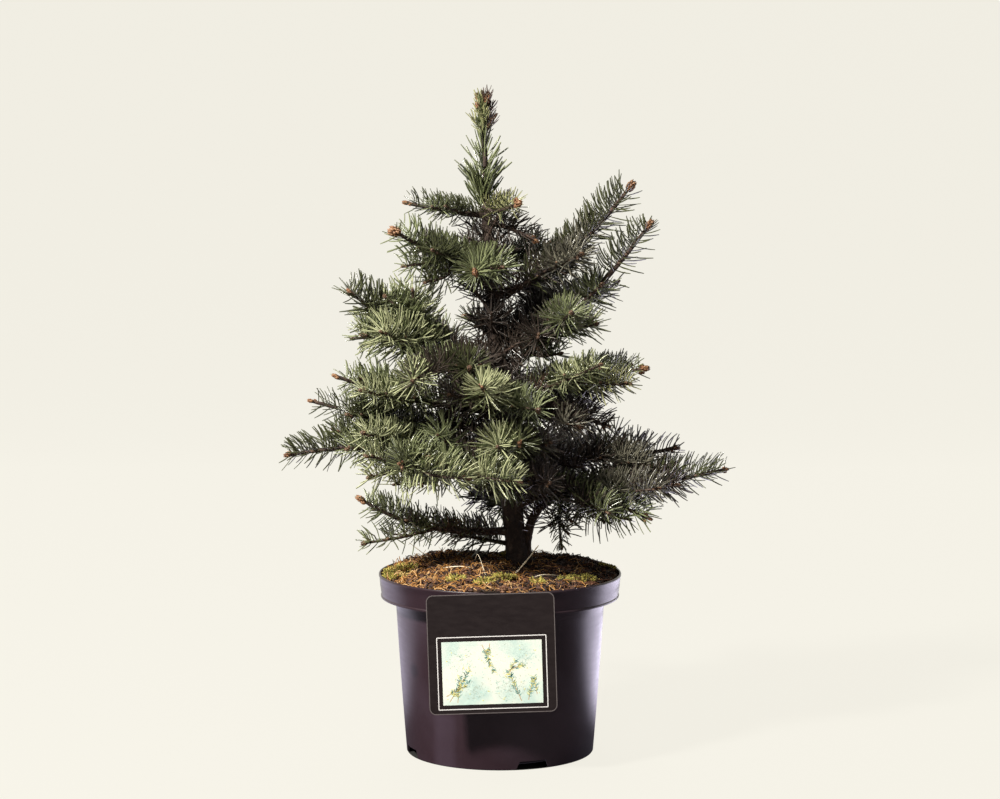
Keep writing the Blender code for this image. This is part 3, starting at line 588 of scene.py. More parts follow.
def growBough(row, shoots):
    name, height, azimuth, rise, level, tip, limb, stem, twigs = row
    shape, first = sideShape, len(shoots)
    rng = random.Random(name)
    share = trunkShare(height * mm)
    foot = trunkPoint(share) + heading(azimuth, 0) * trunkRadius(share) / 2
    swing = (azimuth, azimuth)
    if limb:
        limbPath = grow(foot, swing, (rise, level), limb * mm, 4, 2)
        stemPath = grow(limbPath[-1], swing, (level, tip), stem * mm, 4)
    else:
        limbPath = [foot]
        stemPath = grow(foot, swing, (rise, tip), stem * mm, 4)
    bareLimb = pathLength(limbPath) * shootShape["bareLimb"] if limb else shootShape["bareStart"]
    radii = (limbRadius(limb, stem), shootShape["stemTip"])
    path = smoothPath(limbPath + stemPath[1:])
    shoots.append(shoot("stem", path, radii, budSizes.get(name, 0.6), bareLimb))
    for along, turn, lift, length in twigs:
        climb = level + (tip - level) * along + lift + rng.uniform(*shootShape["climbStray"])
        own = azimuth + turn + rng.uniform(*shootShape["turnStray"])
        turns = (own, own - turn * shootShape["turnBack"])
        foot = pointAlong(stemPath, along)
        points = grow(foot, turns, (climb, climb + shootShape["upturn"]), length * mm, 2)
        shoots.append(twigShoot(smoothPath(points), shootShape["bud"]))
        if length > shape["longTwig"]:
            for side, share in zip((1, -1, 1), shape["twigShares"]):
                sideLength = rng.uniform(*shape["twigLengths"])
                turned = side * rng.uniform(*shape["twigTurns"])
                shoots.append(sideShoot("side", rng, points, share, turned, shape["twigClimb"], sideLength,
                                        shape["twigRadius"]))
    # finer shoots between the twigs, and short ones on the limb
    side = 1 if rng.random() < 0.5 else -1
    for along in shape["stemShares"]:
        side = -side
        free = min([abs(along - twig[0]) for twig in twigs] + [1])
        if stem > shape["longStem"] and free > shape["apart"]:
            length = rng.uniform(*shape["stemLengths"]) * (1 - 0.4 * along)
            shoots.append(sideShoot("side", rng, stemPath, along, side * rng.uniform(*shape["stemTurns"]),
                                    rng.uniform(*shape["stemClimbs"]), length, shape["radius"]))
    for along in shape["limbShares"] if limb else ():
        side = -side
        length = rng.uniform(*shape["limbLengths"]) * (0.7 + 0.3 * along)
        shoots.append(sideShoot("inner", rng, limbPath, along, side * rng.uniform(*shape["limbTurns"]),
                                rng.uniform(*shape["limbClimbs"]), length, shape["radius"]))
    for one in shoots[first:]:
        one["vigour"] = vigours.get(name, 1.0)
        if one["path"][-1].z < one["path"][0].z - pathLength(one["path"]) * shootShape["hangsFrom"]:
            one.update(hangingShape)
    # painted shade: a shaded bough's stem takes dark green
    shoots[first]["tone"] = "green" if name in shadedBoughs else None


def growTrunkShoots(shoots):
    # short shaded shoots on the trunk between its whorls
    shape = trunkShootShape
    rng = random.Random("trunk shoots")
    low, high = shape["heights"]
    for k in range(shape["count"]):
        height = low + (high - low) * (k + rng.uniform(0.2, 0.8)) / shape["count"]
        azimuth = k * goldenTurn + rng.uniform(*shape["turns"])
        length = rng.uniform(*shape["lengths"])
        share = trunkShare(height * mm)
        foot = trunkPoint(share) + heading(azimuth, 0) * trunkRadius(share) * 0.7
        climb = rng.uniform(*shape["climbs"])
        path = grow(foot, (azimuth, azimuth + 8), (climb, climb + 8), length * mm, 2)
        shoots.append(shoot("inner", smoothPath(path), shape["radii"], shape["bud"], shape["bareStart"]))


# shoots that leave the nearest stem and turn to the front: their tip, heading, climb, length and colour
frontTable = (
    ((-77, -118, 357), 267, 4, 40),
    ((-2, -106, 297), 262, 5, 34),
    ((35, -44, 392), 276, 16, 34),
    ((-86, -112, 279), 250, 5, 34),
    ((-56, -86, 305), 246, 18, 30),
    ((-87, -36, 453), 201, -6, 50),
    ((-68, -38, 438), 204, -16, 38),
    ((-104, -30, 425), 190, 40, 34),
    ((-119, -50, 262), 200, -10, 36),
    ((-96, -54, 256), 215, -4, 34),
    ((-71, -58, 257), 236, -2, 32),
    ((-128, -36, 351), 187, 14, 30),
    ((101, -20, 216), -12, -20, 34),
    ((119, -20, 219), 0, -14, 32),
    ((58, -12, 372), 328, 10, 36),
    ((34, -8, 376), 300, 20, 28),
    ((-134, -24, 386), 186, -8, 34),
    ((18, -112, 266), 346, -6, 50, "silver"),
    ((-28, -116, 270), 350, -4, 52, "silver"),
    ((-62, -104, 288), 340, 0, 36, "blue"),
)


def growFrontShoots(shoots):
    parents = [point for one in shoots if one["kind"] in ("stem", "twig") for point in one["path"]]
    for tip, azimuth, climb, length, *tone in frontTable:
        tip = Vector(tip) * mm
        way = heading(azimuth, climb)
        back = tip - way * length * mm
        foot = min(parents, key=lambda point: (point - back).length)
        path = smoothPath([foot, tip - way * length * 0.6 * mm, tip])
        shoots.append(twigShoot(path, 0.5))
        shoots[-1]["tone"] = tone[0] if tone else None


leaderShape = {
    "length": 95 * mm,
    "steps": 40,
    "sideways": 3.5 * mm,  # how far its foot's needles sit to the left
    "straightFrom": 26,  # steps
    "leans": ((0, 36), (0.15, 44), (0.35, 54), (0.44, 50), (0.5, 24), (0.8, 24), (1, 36)),
    "reach": ((0, 1.1), (0.35, 1.35), (0.44, 1.3), (0.5, 0.85), (0.8, 0.8), (1, 0.5)),
    "gaps": ((0, 0), (1, 0)),
    "secondGaps": ((0, 0), (0.42, 0.2), (0.5, 0.6), (1, 0.7)),
}
crestShape = {
    "count": 12,
    "drops": (4, 34),  # below the tip, in millimetres
    "lengths": (13, 18),
    "radii": (1.6 * mm, 1.3 * mm),
    "spread": 0.95,
    "leans": ((0, 44), (1, 30)),
    "reach": ((0, 0.5), (1, 0.42)),
    "gaps": ((0, 0.45), (1, 0.3)),
}


def growLeader():
    # a cup of long needles round its foot, then needles pressed to the stem
    shape = leaderShape
    start = 1 - shape["length"] / trunkHeight()
    path = [trunkPoint(start + (1 - start) * k / shape["steps"]) for k in range(shape["steps"] + 1)]
    for k, point in enumerate(path):
        point.x -= shape["sideways"] * max(0, 1 - k / shape["straightFrom"])
    radii = (trunkRadius(start), trunkRadius(1))
    leaders = [shoot("leader", path, radii, 0, 1 * mm, shape) for k in range(2)]
    leaders[1]["gaps"] = shape["secondGaps"]
    return leaders


def growCrest(top):
    # short upright needles round the cluster of buds at the leader's top
    shape, crest = crestShape, []
    for k in range(shape["count"]):
        share = (k + 0.5) / shape["count"]
        drop, length = (low + (high - low) * share for low, high in (shape["drops"], shape["lengths"]))
        foot = top - up * drop * mm
        way = (heading(k * goldenTurn + 30, 0) * shape["spread"] * (0.35 + 0.65 * share) + up).normalized()
        path = [foot + way * length * mm * j / 4 for j in range(5)]
        crest.append(shoot("crest", path, shape["radii"], 0.8, 0, shape))
    return crest


shoots = []
for row in boughTable:
    growBough(row, shoots)
growFrontShoots(shoots)
growTrunkShoots(shoots)
shoots = [one for one in shoots if clipShoot(one)]
leaders = growLeader()
leaderTip = leaders[0]["path"][-1]
crest = growCrest(leaderTip)
print("shoots:", len(shoots), "length:", round(sum(pathLength(one["path"]) for one in shoots), 2), "m")


# --- needles, twigs and buds

needleShape = {
    "Spacing": 0.41 * mm,
    "Slimness": 0.037,  # half its width, for a length of one
    "Bend": 0.14,
    "Curl": 0.36,  # the bend of those underneath and round the tips
    "Tuft": 7,  # needles that leave the shoot together
    "Jitter": 0.1,  # radians
    "Sway": 0.4,  # radians, how far the tufts lean apart
    "Droop": 0.02,  # how much longer the needles under a shoot are than those on it
    "Floor": 170 * mm,  # needles over the pot end above this
    "Seed": 4,
}
combShape = {
    "stoutness": (0.8, 1.0),  # of the curled needles and of the straight ones
    "gathering": (0.6, 0.9),
    "skew": 0.35,  # radians, how far needles stray round the shoot
    "lengths": (0.88, 1.06),
    "upLean": 0.26,  # how much further the needles on top lean from the shoot, in radians
    "underThinning": (-0.7, 0.0, 0.35),
    "straightAbove": -0.25,
    "straightFrom": 1.16,  # radians, towards the tips they all curl
    "checks": (0.2, 0.45, 0.7, 0.95),  # shares of a needle that may not cross an opening
    "widths": (0.7, 1.3),
}
potReach = 116 * mm  # round the pot's middle
# painted light and shade: the pale colours go to lit sprays and the dark ones to shaded sprays
needleColours = {
    "fresh": (0.26, 0.26, 0.12),
    "silver": (0.345, 0.36, 0.2),
    "blue": (0.175, 0.195, 0.095),
    "green": (0.062, 0.068, 0.028),
    "deep": (0.068, 0.082, 0.03),
    "dusky": (0.145, 0.135, 0.1),
    "shaded": (0.048, 0.035, 0.027),
    "brown": (0.06, 0.032, 0.019),
}
# painted shade: the share of a pale spray's needles that are given a dark green, most of them underneath
# where shade falls
underShadeShares = {"fresh": 0.35, "silver": 0.42, "blue": 0.35}


def tube(g, curve, ring, radius):
    values = {"Curve": curve, "Profile Curve": ring, "Scale": radius, "Fill Caps": True}
    return g.node("GeometryNodeCurveToMesh", {}, values)


def needleTree():
    inputs = {name: ("Float", float(value)) for name, value in needleShape.items()}
    inputs |= {"Seed": ("Int", 0), "Openings": ("Object", None), "Material": ("Material", None)}
    g, shape = GeometryGraph("needles", inputs), combShape
    # two needles, a unit long, bent towards +X: a stout one and a thin curled one
    pair = g.tree.nodes.new("GeometryNodeGeometryToInstance")
    share = g.node("GeometryNodeSplineParameter")
    along = share**0.6
    ring = g.node("GeometryNodeCurvePrimitiveCircle", {}, {"Resolution": 3, "Radius": 1.0})
    for bend, stoutness in zip((g.given["Curl"], g.given["Bend"]), shape["stoutness"]):
        arc = g.node("GeometryNodeCurveQuadraticBezier", {},
                     {"Resolution": 3, "Start": (0, 0, 0), "Middle": (0, 0, 0.5), "End": (0, 0, 1)})
        bowed = g.node("ShaderNodeCombineXYZ", {}, {"X": along**2 * bend, "Z": along - share})
        arc = g.node("GeometryNodeSetPosition", {}, {"Geometry": arc, "Offset": bowed})
        blunt = g.maths("MINIMUM", share * 3 + 0.7, 1.0)
        width = g.given["Slimness"] * stoutness * (1 - share**6 * 0.4) * blunt
        g.feed(pair.inputs[0], tube(g, arc, ring, width))
    # points in a spiral round every shoot
    curves = g.node("GeometryNodeMeshToCurve", {}, {"Mesh": g.geometry})
    points = g.node("GeometryNodeCurveToPoints", {"mode": "LENGTH"},
                    {"Curve": curves, "Length": g.given["Spacing"]})
    forward = g.named("heading", "FLOAT_VECTOR")
    across = points.out("Normal")
    over = g.maths("CROSS_PRODUCT", forward, across)
    index = g.node("GeometryNodeInputIndex")
    tuft = g.maths("FLOOR", index / g.given["Tuft"])
    gathered = forward * (g.given["Tuft"] * tuft - index) * g.given["Spacing"]
    gathered = gathered * g.chance(*shape["gathering"], 7, tuft)
    turn = index * goldenAngle + g.chance(-shape["skew"], shape["skew"])
    outward = across * g.maths("COSINE", turn) + over * g.maths("SINE", turn)
    outward = g.maths("NORMALIZE", outward)
    # combed towards the sky, square to the shoot
    skyward = g.node("ShaderNodeCombineXYZ", {}, {"Z": 1.0})
    skyward = skyward - forward * g.maths("DOT_PRODUCT", forward, skyward)
    skyward = skyward * (1 / g.maths("MAXIMUM", g.maths("LENGTH", skyward), 0.3))
    raised = g.maths("NORMALIZE", outward + skyward * g.named("lift"))
    height = g.maths("DOT_PRODUCT", raised, skyward)
    swaying = g.chance(-0.5, 0.5, 8, tuft) * g.given["Sway"]
    lean = g.named("lean") + height * shape["upLean"] + swaying
    lean = lean + g.chance(-1.0, 1.0, 1) * g.given["Jitter"]
    way = forward * g.maths("COSINE", lean) + raised * g.maths("SINE", lean)
    length = g.named("needleLength") * (1 - height * g.given["Droop"]) * g.chance(*shape["lengths"], 2)
    root = outward * g.named("thickness") * 0.6 + gathered
    placed = g.node("GeometryNodeSetPosition", {}, {"Geometry": points, "Offset": root})
    # none where the shoot is bare or where they would reach into the soil
    spot = g.node("GeometryNodeInputPosition")
    tip = g.node("ShaderNodeSeparateXYZ", {}, {"Vector": spot + way * length})
    away = tip.out("X") ** 2.0 + tip.out("Y") ** 2.0
    sunk = (tip.out("Z") < g.given["Floor"]) * (away < potReach**2)
    thinning, least, most = shape["underThinning"]
    under = g.clamp(height * thinning, least, most)
    bare = g.named("bareness") + under + g.named("favour") * height > g.chance(0.0, 1.0, 4)
    # nor where they would cross one of the openings
    discs = g.node("GeometryNodeObjectInfo", {}, {"Object": g.given["Openings"]}).out("Geometry")
    crossing = sunk + bare
    straight = (height > shape["straightAbove"]) * (g.named("lean") > shape["straightFrom"])
    curled = forward + across * g.chance(-0.5, 0.5, 6, tuft)
    bow = g.given["Curl"] + straight * (g.given["Bend"] - g.given["Curl"])
    for reach in shape["checks"]:
        reached = spot + way * (length * reach) + curled * (length * bow * reach**2)
        parts = g.node("ShaderNodeSeparateXYZ", {}, {"Vector": reached})
        scale = -eye.y / (parts.out("Y") - eye.y)
        seen = g.node("ShaderNodeCombineXYZ", {},
                      {"X": parts.out("X") * scale, "Z": (parts.out("Z") - eye.z) * scale + eye.z})
        near = g.node("GeometryNodeProximity", {"target_element": "FACES"},
                      {"Target": discs, "Source Position": seen})
        crossing = crossing + (near.out("Distance") < 0.1 * mm)
    dropped = g.node("GeometryNodeDeleteGeometry", {"domain": "POINT"},
                     {"Geometry": placed, "Selection": crossing > 0.5})
    facing = g.node("FunctionNodeAxesToRotation", {"primary_axis": "Z", "secondary_axis": "X"},
                    {"Primary Axis": way, "Secondary Axis": curled})
    # those on top are stouter than those underneath, and long ones slimmer for their length
    stout = (length * 0.6 + shootShape["needle"] * 0.4) * (0.92 + height * 0.16)
    wide = stout * g.chance(*shape["widths"], 5)
    size = g.node("ShaderNodeCombineXYZ", {}, {"X": wide, "Y": stout, "Z": length})
    needles = g.node("GeometryNodeInstanceOnPoints", {},
                     {"Points": dropped, "Instance": Wire(g, pair.outputs[0]), "Pick Instance": True,
                      "Instance Index": straight, "Rotation": facing, "Scale": size})
    g.finish(needles, g.given["Material"])
    return g


def openingDiscs():
    # the openings as flat discs in the plane they are seen in
    points, faces, sides = [], [], 20
    for x, height, radius in openings:
        faces.append(tuple(range(len(points), len(points) + sides)))
        for k in range(sides):
            angle = 2 * math.pi * k / sides
            rim = (x + radius * math.cos(angle), 0, height + radius * math.sin(angle))
            points.append(Vector(rim) * mm)
    return newPiece("openings", meshFrom("openings", points, faces))


def alongShoot(one, key, share):
    return float(np.interp(share, *zip(*one[key])))


def shootLines(name, chosen):
    # the shoots as polylines whose points carry what the trees read
    points, edges, marks = [], [], {key: [] for key in growthMarks}
    for one in chosen:
        path = one["path"]
        length = pathLength(path)
        run = 0.0
        for k, point in enumerate(path):
            if k:
                run += (point - path[k - 1]).length
                edges.append((len(points) - 1, len(points)))
            share = run / length
            ahead = (path[min(k + 1, len(path) - 1)] - path[max(k - 1, 0)]).normalized()
            marks["heading"] += list(ahead)
            marks["thickness"].append(one["radii"][0] + (one["radii"][1] - one["radii"][0]) * share)
            reach = one["vigour"] * alongShoot(one, "reach", share)
            marks["needleLength"].append(shootShape["needle"] * reach)
            marks["lean"].append(math.radians(alongShoot(one, "leans", share)))
            marks["lift"].append(shootShape["lift"])
            bare = run < one["needleFrom"]
            marks["bareness"].append(1.0 if bare else alongShoot(one, "gaps", share))
            marks["favour"].append(one.get("favour", 0.0))
            marks["size"].append(one["bud"])
            points.append(point)
    mesh = meshFrom(name, points, edges=edges)
    for key, values in marks.items():
        mark(mesh, key, values)
    return newPiece(name, mesh)


# painted light and shade: where the front's sprays are made lighter or darker: x, height and radius in
# millimetres, and by how much
lightSpots = (
    (-37, 372, 22, -1.0), (-30, 344, 16, -0.7), (-72, 358, 24, 0.4), (-14, 350, 20, 0.4),
    (82, 366, 42, 0.7), (-68, 280, 26, 0.3), (-10, 275, 24, 0.4), (55, 300, 30, -0.35),
    (-110, 395, 40, 0.3), (14, 250, 40, -0.5), (-175, 285, 40, -0.5), (140, 270, 55, -0.6),
    (120, 310, 30, -0.4), (-110, 210, 40, -0.3),
)
# where lit sprays of young growth are painted paler and yellowish: x, height and radius in millimetres
freshLitSpots = ((2, 506, 26), (-64, 290, 18), (92, 362, 24), (-58, 362, 12), (-14, 290, 14))
# painted light and shade: sprays towards the lamp on the left and at the front get paler colours, those deep
# in the crown darker
lightShape = {
    # the crown's radius at its top, how fast it widens below, and that top's height
    "crown": (60 * mm, 0.28, 560 * mm),
    "start": 0.3,
    "left": 1.7,  # lightness per metre
    "front": 2.6,
    "spread": (-0.2, 0.2),
    "kinds": {"stem": 0.14, "side": -0.12},
    "spotDepth": 10 * mm,  # light spots lie in front of this
    "freshFrom": 0.35,
    # painted shade starts this far to the right of the trunk
    "shadeFrom": 35 * mm,  # to the right of the trunk
    "shadeSpread": (-15, 15),
    "freshCrest": 1.5 * mm,
}
# painted light and shade: the lightness up to which a spray takes one of the colours, on the left and on the
# shaded, greyer right
tones = (
    (0.0, ("shaded", "green"), ("shaded", "dusky", "shaded")),
    (0.3, ("green", "green", "shaded"), ("dusky", "shaded", "dusky")),
    (0.6, ("blue", "green", "blue"), ("dusky", "dusky", "blue")),
    (0.85, ("blue", "silver", "silver", "blue", "green"), ("silver", "dusky", "blue")),
    (math.inf, ("silver", "silver", "blue", "silver"), ("silver", "silver", "blue", "silver")),
)


def sprayColour(one, rng):
    # painted light and shade: lit outer sprays are pale, inner ones are dark; the rule goes by spray
    shape, middle = lightShape, one["path"][len(one["path"]) // 2]
    trunk = trunkPoint(min(1, max(0, trunkShare(middle.z))))
    crown, widening, crownTop = shape["crown"]
    lit = (middle - trunk).length / (crown + widening * (crownTop - middle.z)) - shape["start"]
    lit = lit - middle.x * shape["left"] - middle.y * shape["front"] + rng.uniform(*shape["spread"])
    if one["kind"] == "leader":
        return "blue"
    if one.get("tone"):
        return one["tone"]
    if one["kind"] == "crest":
        return "fresh" if middle.x < leaderTip.x + shape["freshCrest"] else "brown"

    def near(x, height, radius):
        return math.hypot(middle.x - x * mm, middle.z - height * mm) < radius * mm

    lit += shape["kinds"].get(one["kind"], 0)
    for *spot, change in lightSpots:
        if middle.y < shape["spotDepth"] and near(*spot):
            lit += change
    for spot in freshLitSpots:
        if lit > shape["freshFrom"] and near(*spot):
            return rng.choice(("fresh", "blue"))
    # painted shade: sprays on the shaded right-hand side take greyer colours than on the left
    shadedRight = middle.x + rng.uniform(*shape["shadeSpread"]) * mm > shape["shadeFrom"]
    # painted shade: inner sprays take the shaded colour, now and then brown
    if one["kind"] == "inner":
        return rng.choice(("shaded", "shaded", "brown", "shaded"))
    for limit, left, right in tones:
        if lit < limit:
            return rng.choice(right if shadedRight else left)


def partOf(one, share, favour):
    # a share of the shoot's needles, more of them on top where favour is negative
    gaps = tuple((at, 1 - (1 - gap) * share) for at, gap in one["gaps"])
    return {**one, "gaps": gaps, "favour": favour}


kindVigours = {"twig": 0.97, "side": 0.86, "inner": 0.8}


def growNeedles():
    rng = random.Random("sprays")
    sprays = {colour: [] for colour in needleColours}
    for one in shoots + leaders + crest:
        one["vigour"] *= kindVigours.get(one["kind"], 1.0)
        colour = sprayColour(one, rng)
        # painted shade: part of each pale spray goes to a dark green copy, mostly underneath
        deep = underShadeShares.get(colour)
        if deep:
            sprays["deep"].append(partOf(one, deep, 0.3))
            one = partOf(one, 1 - deep, -0.3)
        sprays[colour].append(one)
    tree = needleTree()
    discs = openingDiscs()
    pieces = []
    for colour, chosen in sprays.items():
        finish = Finish("needles_" + colour, 0.4, BaseColor=needleColours[colour],
                        CoatWeight=0.8, CoatRoughness=0.22)
        piece = growPiece(shootLines("needles_" + colour, chosen), tree,
                          {**needleShape, "Openings": discs, "Material": finish.material})
        pieces.append(piece)
    bpy.data.objects.remove(discs)
    settle(pieces[0], "needles", *massNodes)
    for piece in pieces[1:]:
        settle(piece, "needles")


def twigTree():
    inputs = {"Step": ("Float", 0.0025), "Knobs": ("Float", 0.1), "Sides": ("Int", 7), "Seed": ("Int", 0),
              "Material": ("Material", None)}
    g = GeometryGraph("twigs", inputs)
    curves = g.node("GeometryNodeMeshToCurve", {}, {"Mesh": g.geometry})
    curves = g.node("GeometryNodeResampleCurve", {"mode": "LENGTH"},
                    {"Curve": curves, "Length": g.given["Step"]})
    ring = g.node("GeometryNodeCurvePrimitiveCircle", {}, {"Resolution": g.given["Sides"], "Radius": 1.0})
    radius = g.named("thickness") * (1 + g.chance(-1.0, 1.0) * g.given["Knobs"])
    g.finish(tube(g, curves, ring, radius), g.given["Material"])
    return g


def growTwigs():
    finish = Finish("twig_bark", 0.7)
    tone = finish.noise(260, 4)
    finish.set(BaseColor=finish.ramp(tone, (0.3, (0.018, 0.01, 0.008)), (0.52, (0.045, 0.025, 0.017)),
                                     (0.72, (0.1, 0.06, 0.036))))
    finish.bump(finish.noise(900, 3), 0.3 * mm, 0.7)
    fine = [one for one in shoots if one["kind"] != "stem"]
    piece = growPiece(shootLines("twigs", fine), twigTree(),
                      {"Step": 3 * mm, "Knobs": 0.12, "Sides": 7, "Seed": 2, "Material": finish.material})
    settle(piece, "bark")


# rings of scales: how low they start, their count, and their distance from the middle
scaleRings = ((0.0, 6, 0.33), (0.22, 6, 0.34), (0.46, 5, 0.26))
scaleHeight = 0.5


def budMesh():
    # an ovoid of overlapping scales, one unit long
    bm = bmesh.new()
    bmesh.ops.create_uvsphere(bm, u_segments=6, v_segments=4, radius=0.3)
    for vert in bm.verts:
        vert.co.z = vert.co.z * 1.5 + 0.44
    for ring, (low, count, spread) in enumerate(scaleRings):
        for k in range(count):
            turn = Matrix.Rotation(2 * math.pi * (k + ring / 2) / count, 4, "Z")
            waist, top = low + scaleHeight * 0.5, low + scaleHeight
            corners = [(spread * 0.8, -0.15, low), (spread * 0.8, 0.15, low), (spread * 1.06, 0.12, waist),
                       (spread * 1.06, -0.12, waist), (spread * 0.72, 0, top),
                       (spread * 0.5, 0, low + scaleHeight * 0.4)]
            a, b, c, d, tip, inner = [bm.verts.new(turn @ Vector(corner)) for corner in corners]
            for face in ((a, b, c, d), (d, c, tip), (c, b, inner), (b, a, inner), (a, d, inner),
                         (tip, c, inner), (d, tip, inner)):
                bm.faces.new(face)
    bmesh.ops.recalc_face_normals(bm, faces=bm.faces)
    return meshOf("bud", bm)


def budTree():
    inputs = {"Bud": ("Object", None), "Length": ("Float", 0.008), "Seed": ("Int", 0),
              "Material": ("Material", None)}
    g = GeometryGraph("buds", inputs)
    points = g.node("GeometryNodeMeshToPoints", {}, {"Mesh": g.geometry})
    bud = g.node("GeometryNodeObjectInfo", {}, {"Object": g.given["Bud"]}).out("Geometry")
    way = g.node("FunctionNodeAlignRotationToVector", {"axis": "Z"},
                 {"Vector": g.named("heading", "FLOAT_VECTOR")})
    length = g.given["Length"] * g.named("size") * g.chance(0.85, 1.15)
    wide = length * g.chance(0.8, 1.05, 1)
    size = g.node("ShaderNodeCombineXYZ", {}, {"X": wide, "Y": wide, "Z": length})
    buds = g.node("GeometryNodeInstanceOnPoints", {},
                  {"Points": points, "Instance": bud, "Rotation": way, "Scale": size})
    g.finish(buds, g.given["Material"])
    return g


budShape = {
    "length": 10 * mm,
    "sink": 3.5 * mm,
    "ringCounts": {"stem": 2, "twig": 1},
    "ringSize": 0.7,
    # below the shoot's tip and from its middle, in millimetres
    "ringDrops": (2.5, 6),
    "ringRadius": 1.8,
    "seed": 5,
}
budColours = {
    "buds": ((0.085, 0.036, 0.018), (0.19, 0.088, 0.04), (0.32, 0.18, 0.09)),
    "small_buds": ((0.035, 0.02, 0.014), (0.1, 0.052, 0.028), (0.2, 0.12, 0.065)),
}


def growBuds(name, chosen):
    # one at each tip, with smaller ones round it on the stronger shoots
    dark, middle, pale = budColours[name]
    finish = Finish(name, 0.5)
    finish.set(BaseColor=finish.ramp(finish.noise(420, 2), (0.32, dark), (0.5, middle), (0.7, pale)))
    points, ways, sizes = [], [], []
    rng = random.Random(name)
    for one in chosen:
        tip = one["path"][-1]
        ahead = (tip - one["path"][-3]).normalized()
        points.append(tip - ahead * budShape["sink"] * one["bud"])
        ways += list(ahead)
        sizes.append(one["bud"])
        across = ahead.orthogonal().normalized()
        count = budShape["ringCounts"].get(one["kind"], 0)
        for k in range(count):
            out = Matrix.Rotation(2 * math.pi * (k + rng.uniform(0, 0.5)) / count, 3, ahead) @ across
            drop = ahead * rng.uniform(*budShape["ringDrops"]) * mm
            points.append(tip - drop + out * budShape["ringRadius"] * mm)
            ways += list((ahead + out * 0.6).normalized())
            sizes.append(budShape["ringSize"] * one["bud"] * rng.uniform(0.8, 1.1))
    mesh = meshFrom(name, points)
    mark(mesh, "heading", ways)
    mark(mesh, "size", sizes)
    bud = newPiece("bud", budMesh())
    settings = {"Bud": bud, "Length": budShape["length"], "Seed": budShape["seed"]}
    piece = growPiece(newPiece(name, mesh), budTree(), {**settings, "Material": finish.material})
    bpy.data.objects.remove(bud)
    settle(piece, "bark")


growNeedles()
growTwigs()
growBuds("buds", [one for one in shoots + crest[:5] if one["kind"] in ("crest", "stem")])
growBuds("small_buds", [one for one in shoots if one["kind"] in ("twig", "side")])


# --- trunk and boughs with the bark's relief

barkShape = {
    "trunkSides": 56,
    "trunkStep": 1.25 * mm,
    "boughSides": 14,
    "boughStep": 1.6 * mm,
    "plates": 0.9 * mm,  # how far the flakes of old bark stand out at the foot
    "pegs": 0.45 * mm,  # the pegs that old needles leave behind
    "collar": 0.55,  # how much stouter a bough is where it leaves the trunk
    "collarLength": 7 * mm,
    "whorlSwell": 1.1 * mm,
    "whorlHeight": 7 * mm,
    "whorls": (0.254, 0.31, 0.36, 0.444, 0.497),  # heights of the whorls
    "trunkFlakes": (150, 420),  # scales of the flakes and of their grain
    "boughFlakes": (330, 700),
    "flakeMiddle": 0.75,
    "ridges": 1.5 * mm,  # that run out into the roots
    "ridgeHeight": 14 * mm,
    "boughPlates": 0.4 * mm,
    "boughPegs": 0.28 * mm,
}


def framesAlong(points):
    frames, across = [], None
    for k, point in enumerate(points):
        along = (points[min(k + 1, len(points) - 1)] - points[max(k - 1, 0)]).normalized()
        if across is None:
            across = up.cross(along) if abs(along.z) < 0.9 else Vector((1, 0, 0))
        across = (across - along * across.dot(along)).normalized()
        frames.append((point, across, along.cross(across)))
    return frames


def skinAlong(path, sides, radiusAt):
    # a closed skin round a path; radiusAt(k, angle, direction) gives its relief
    points, faces = [], []
    for k, (centre, across, over) in enumerate(framesAlong(path)):
        for j in range(sides):
            angle = 2 * math.pi * j / sides
            direction = across * math.cos(angle) + over * math.sin(angle)
            points.append(centre + direction * radiusAt(k, angle, direction))
    for k in range(len(path) - 1):
        for j in range(sides):
            a, b = k * sides + j, k * sides + (j + 1) % sides
            faces.append((a, b, b + sides, a + sides))
    faces.append(tuple(reversed(range(sides))))
    faces.append(tuple(range((len(path) - 1) * sides, len(path) * sides)))
    return points, faces


def flakes(spot, coarse, fine):
    # raised plates with sunken cracks between them
    warped = spot + noise.noise_vector(spot * coarse * 0.6) * 0.3 / coarse
    gaps = noise.voronoi(Vector((warped.x, warped.y, warped.z * 0.55)) * coarse)[0]
    plate = min(1.0, (gaps[1] - gaps[0]) * 3.2)
    return plate + 0.35 * noise.fractal(spot * fine, 1.0, 2.0, 3)


def growTrunk():
    shape = barkShape
    count = round(trunkHeight() / shape["trunkStep"])
    shares = [k / count for k in range(count + 1)]
    path = [trunkPoint(share) for share in shares]

    def radiusAt(k, angle, direction):
        share = shares[k]
        radius = trunkRadius(share)
        spot = path[k] + direction * radius
        old = max(0.0, 1 - share * 1.5)
        flaky = flakes(spot, *shape["trunkFlakes"]) - shape["flakeMiddle"]
        relief = shape["plates"] * (0.25 + 0.75 * old) * flaky
        for height in shape["whorls"]:
            swell = shape["whorlSwell"] * math.exp(-((path[k].z - height) / shape["whorlHeight"]) ** 2)
            relief += swell * min(1, radius / (8 * mm))
        peg = math.sin(angle * 5 + share * 260) * math.sin(share * 1500 + angle)
        relief += shape["pegs"] * max(0.0, peg) ** 2 * min(1.0, share * 2.2) * min(1, radius / (4 * mm))
        foot = math.exp(-share * trunkHeight() / shape["ridgeHeight"])
        relief += shape["ridges"] * foot * math.sin(angle * 5 + 0.8)
        return radius * (1 + 0.02 * math.sin(angle * 3 + share * 9)) + relief

    points, faces = skinAlong(path, shape["trunkSides"], radiusAt)
    for k in range(shape["trunkSides"]):
        points[k].z = trunkShape["foot"].z - 2 * mm
    return points, faces


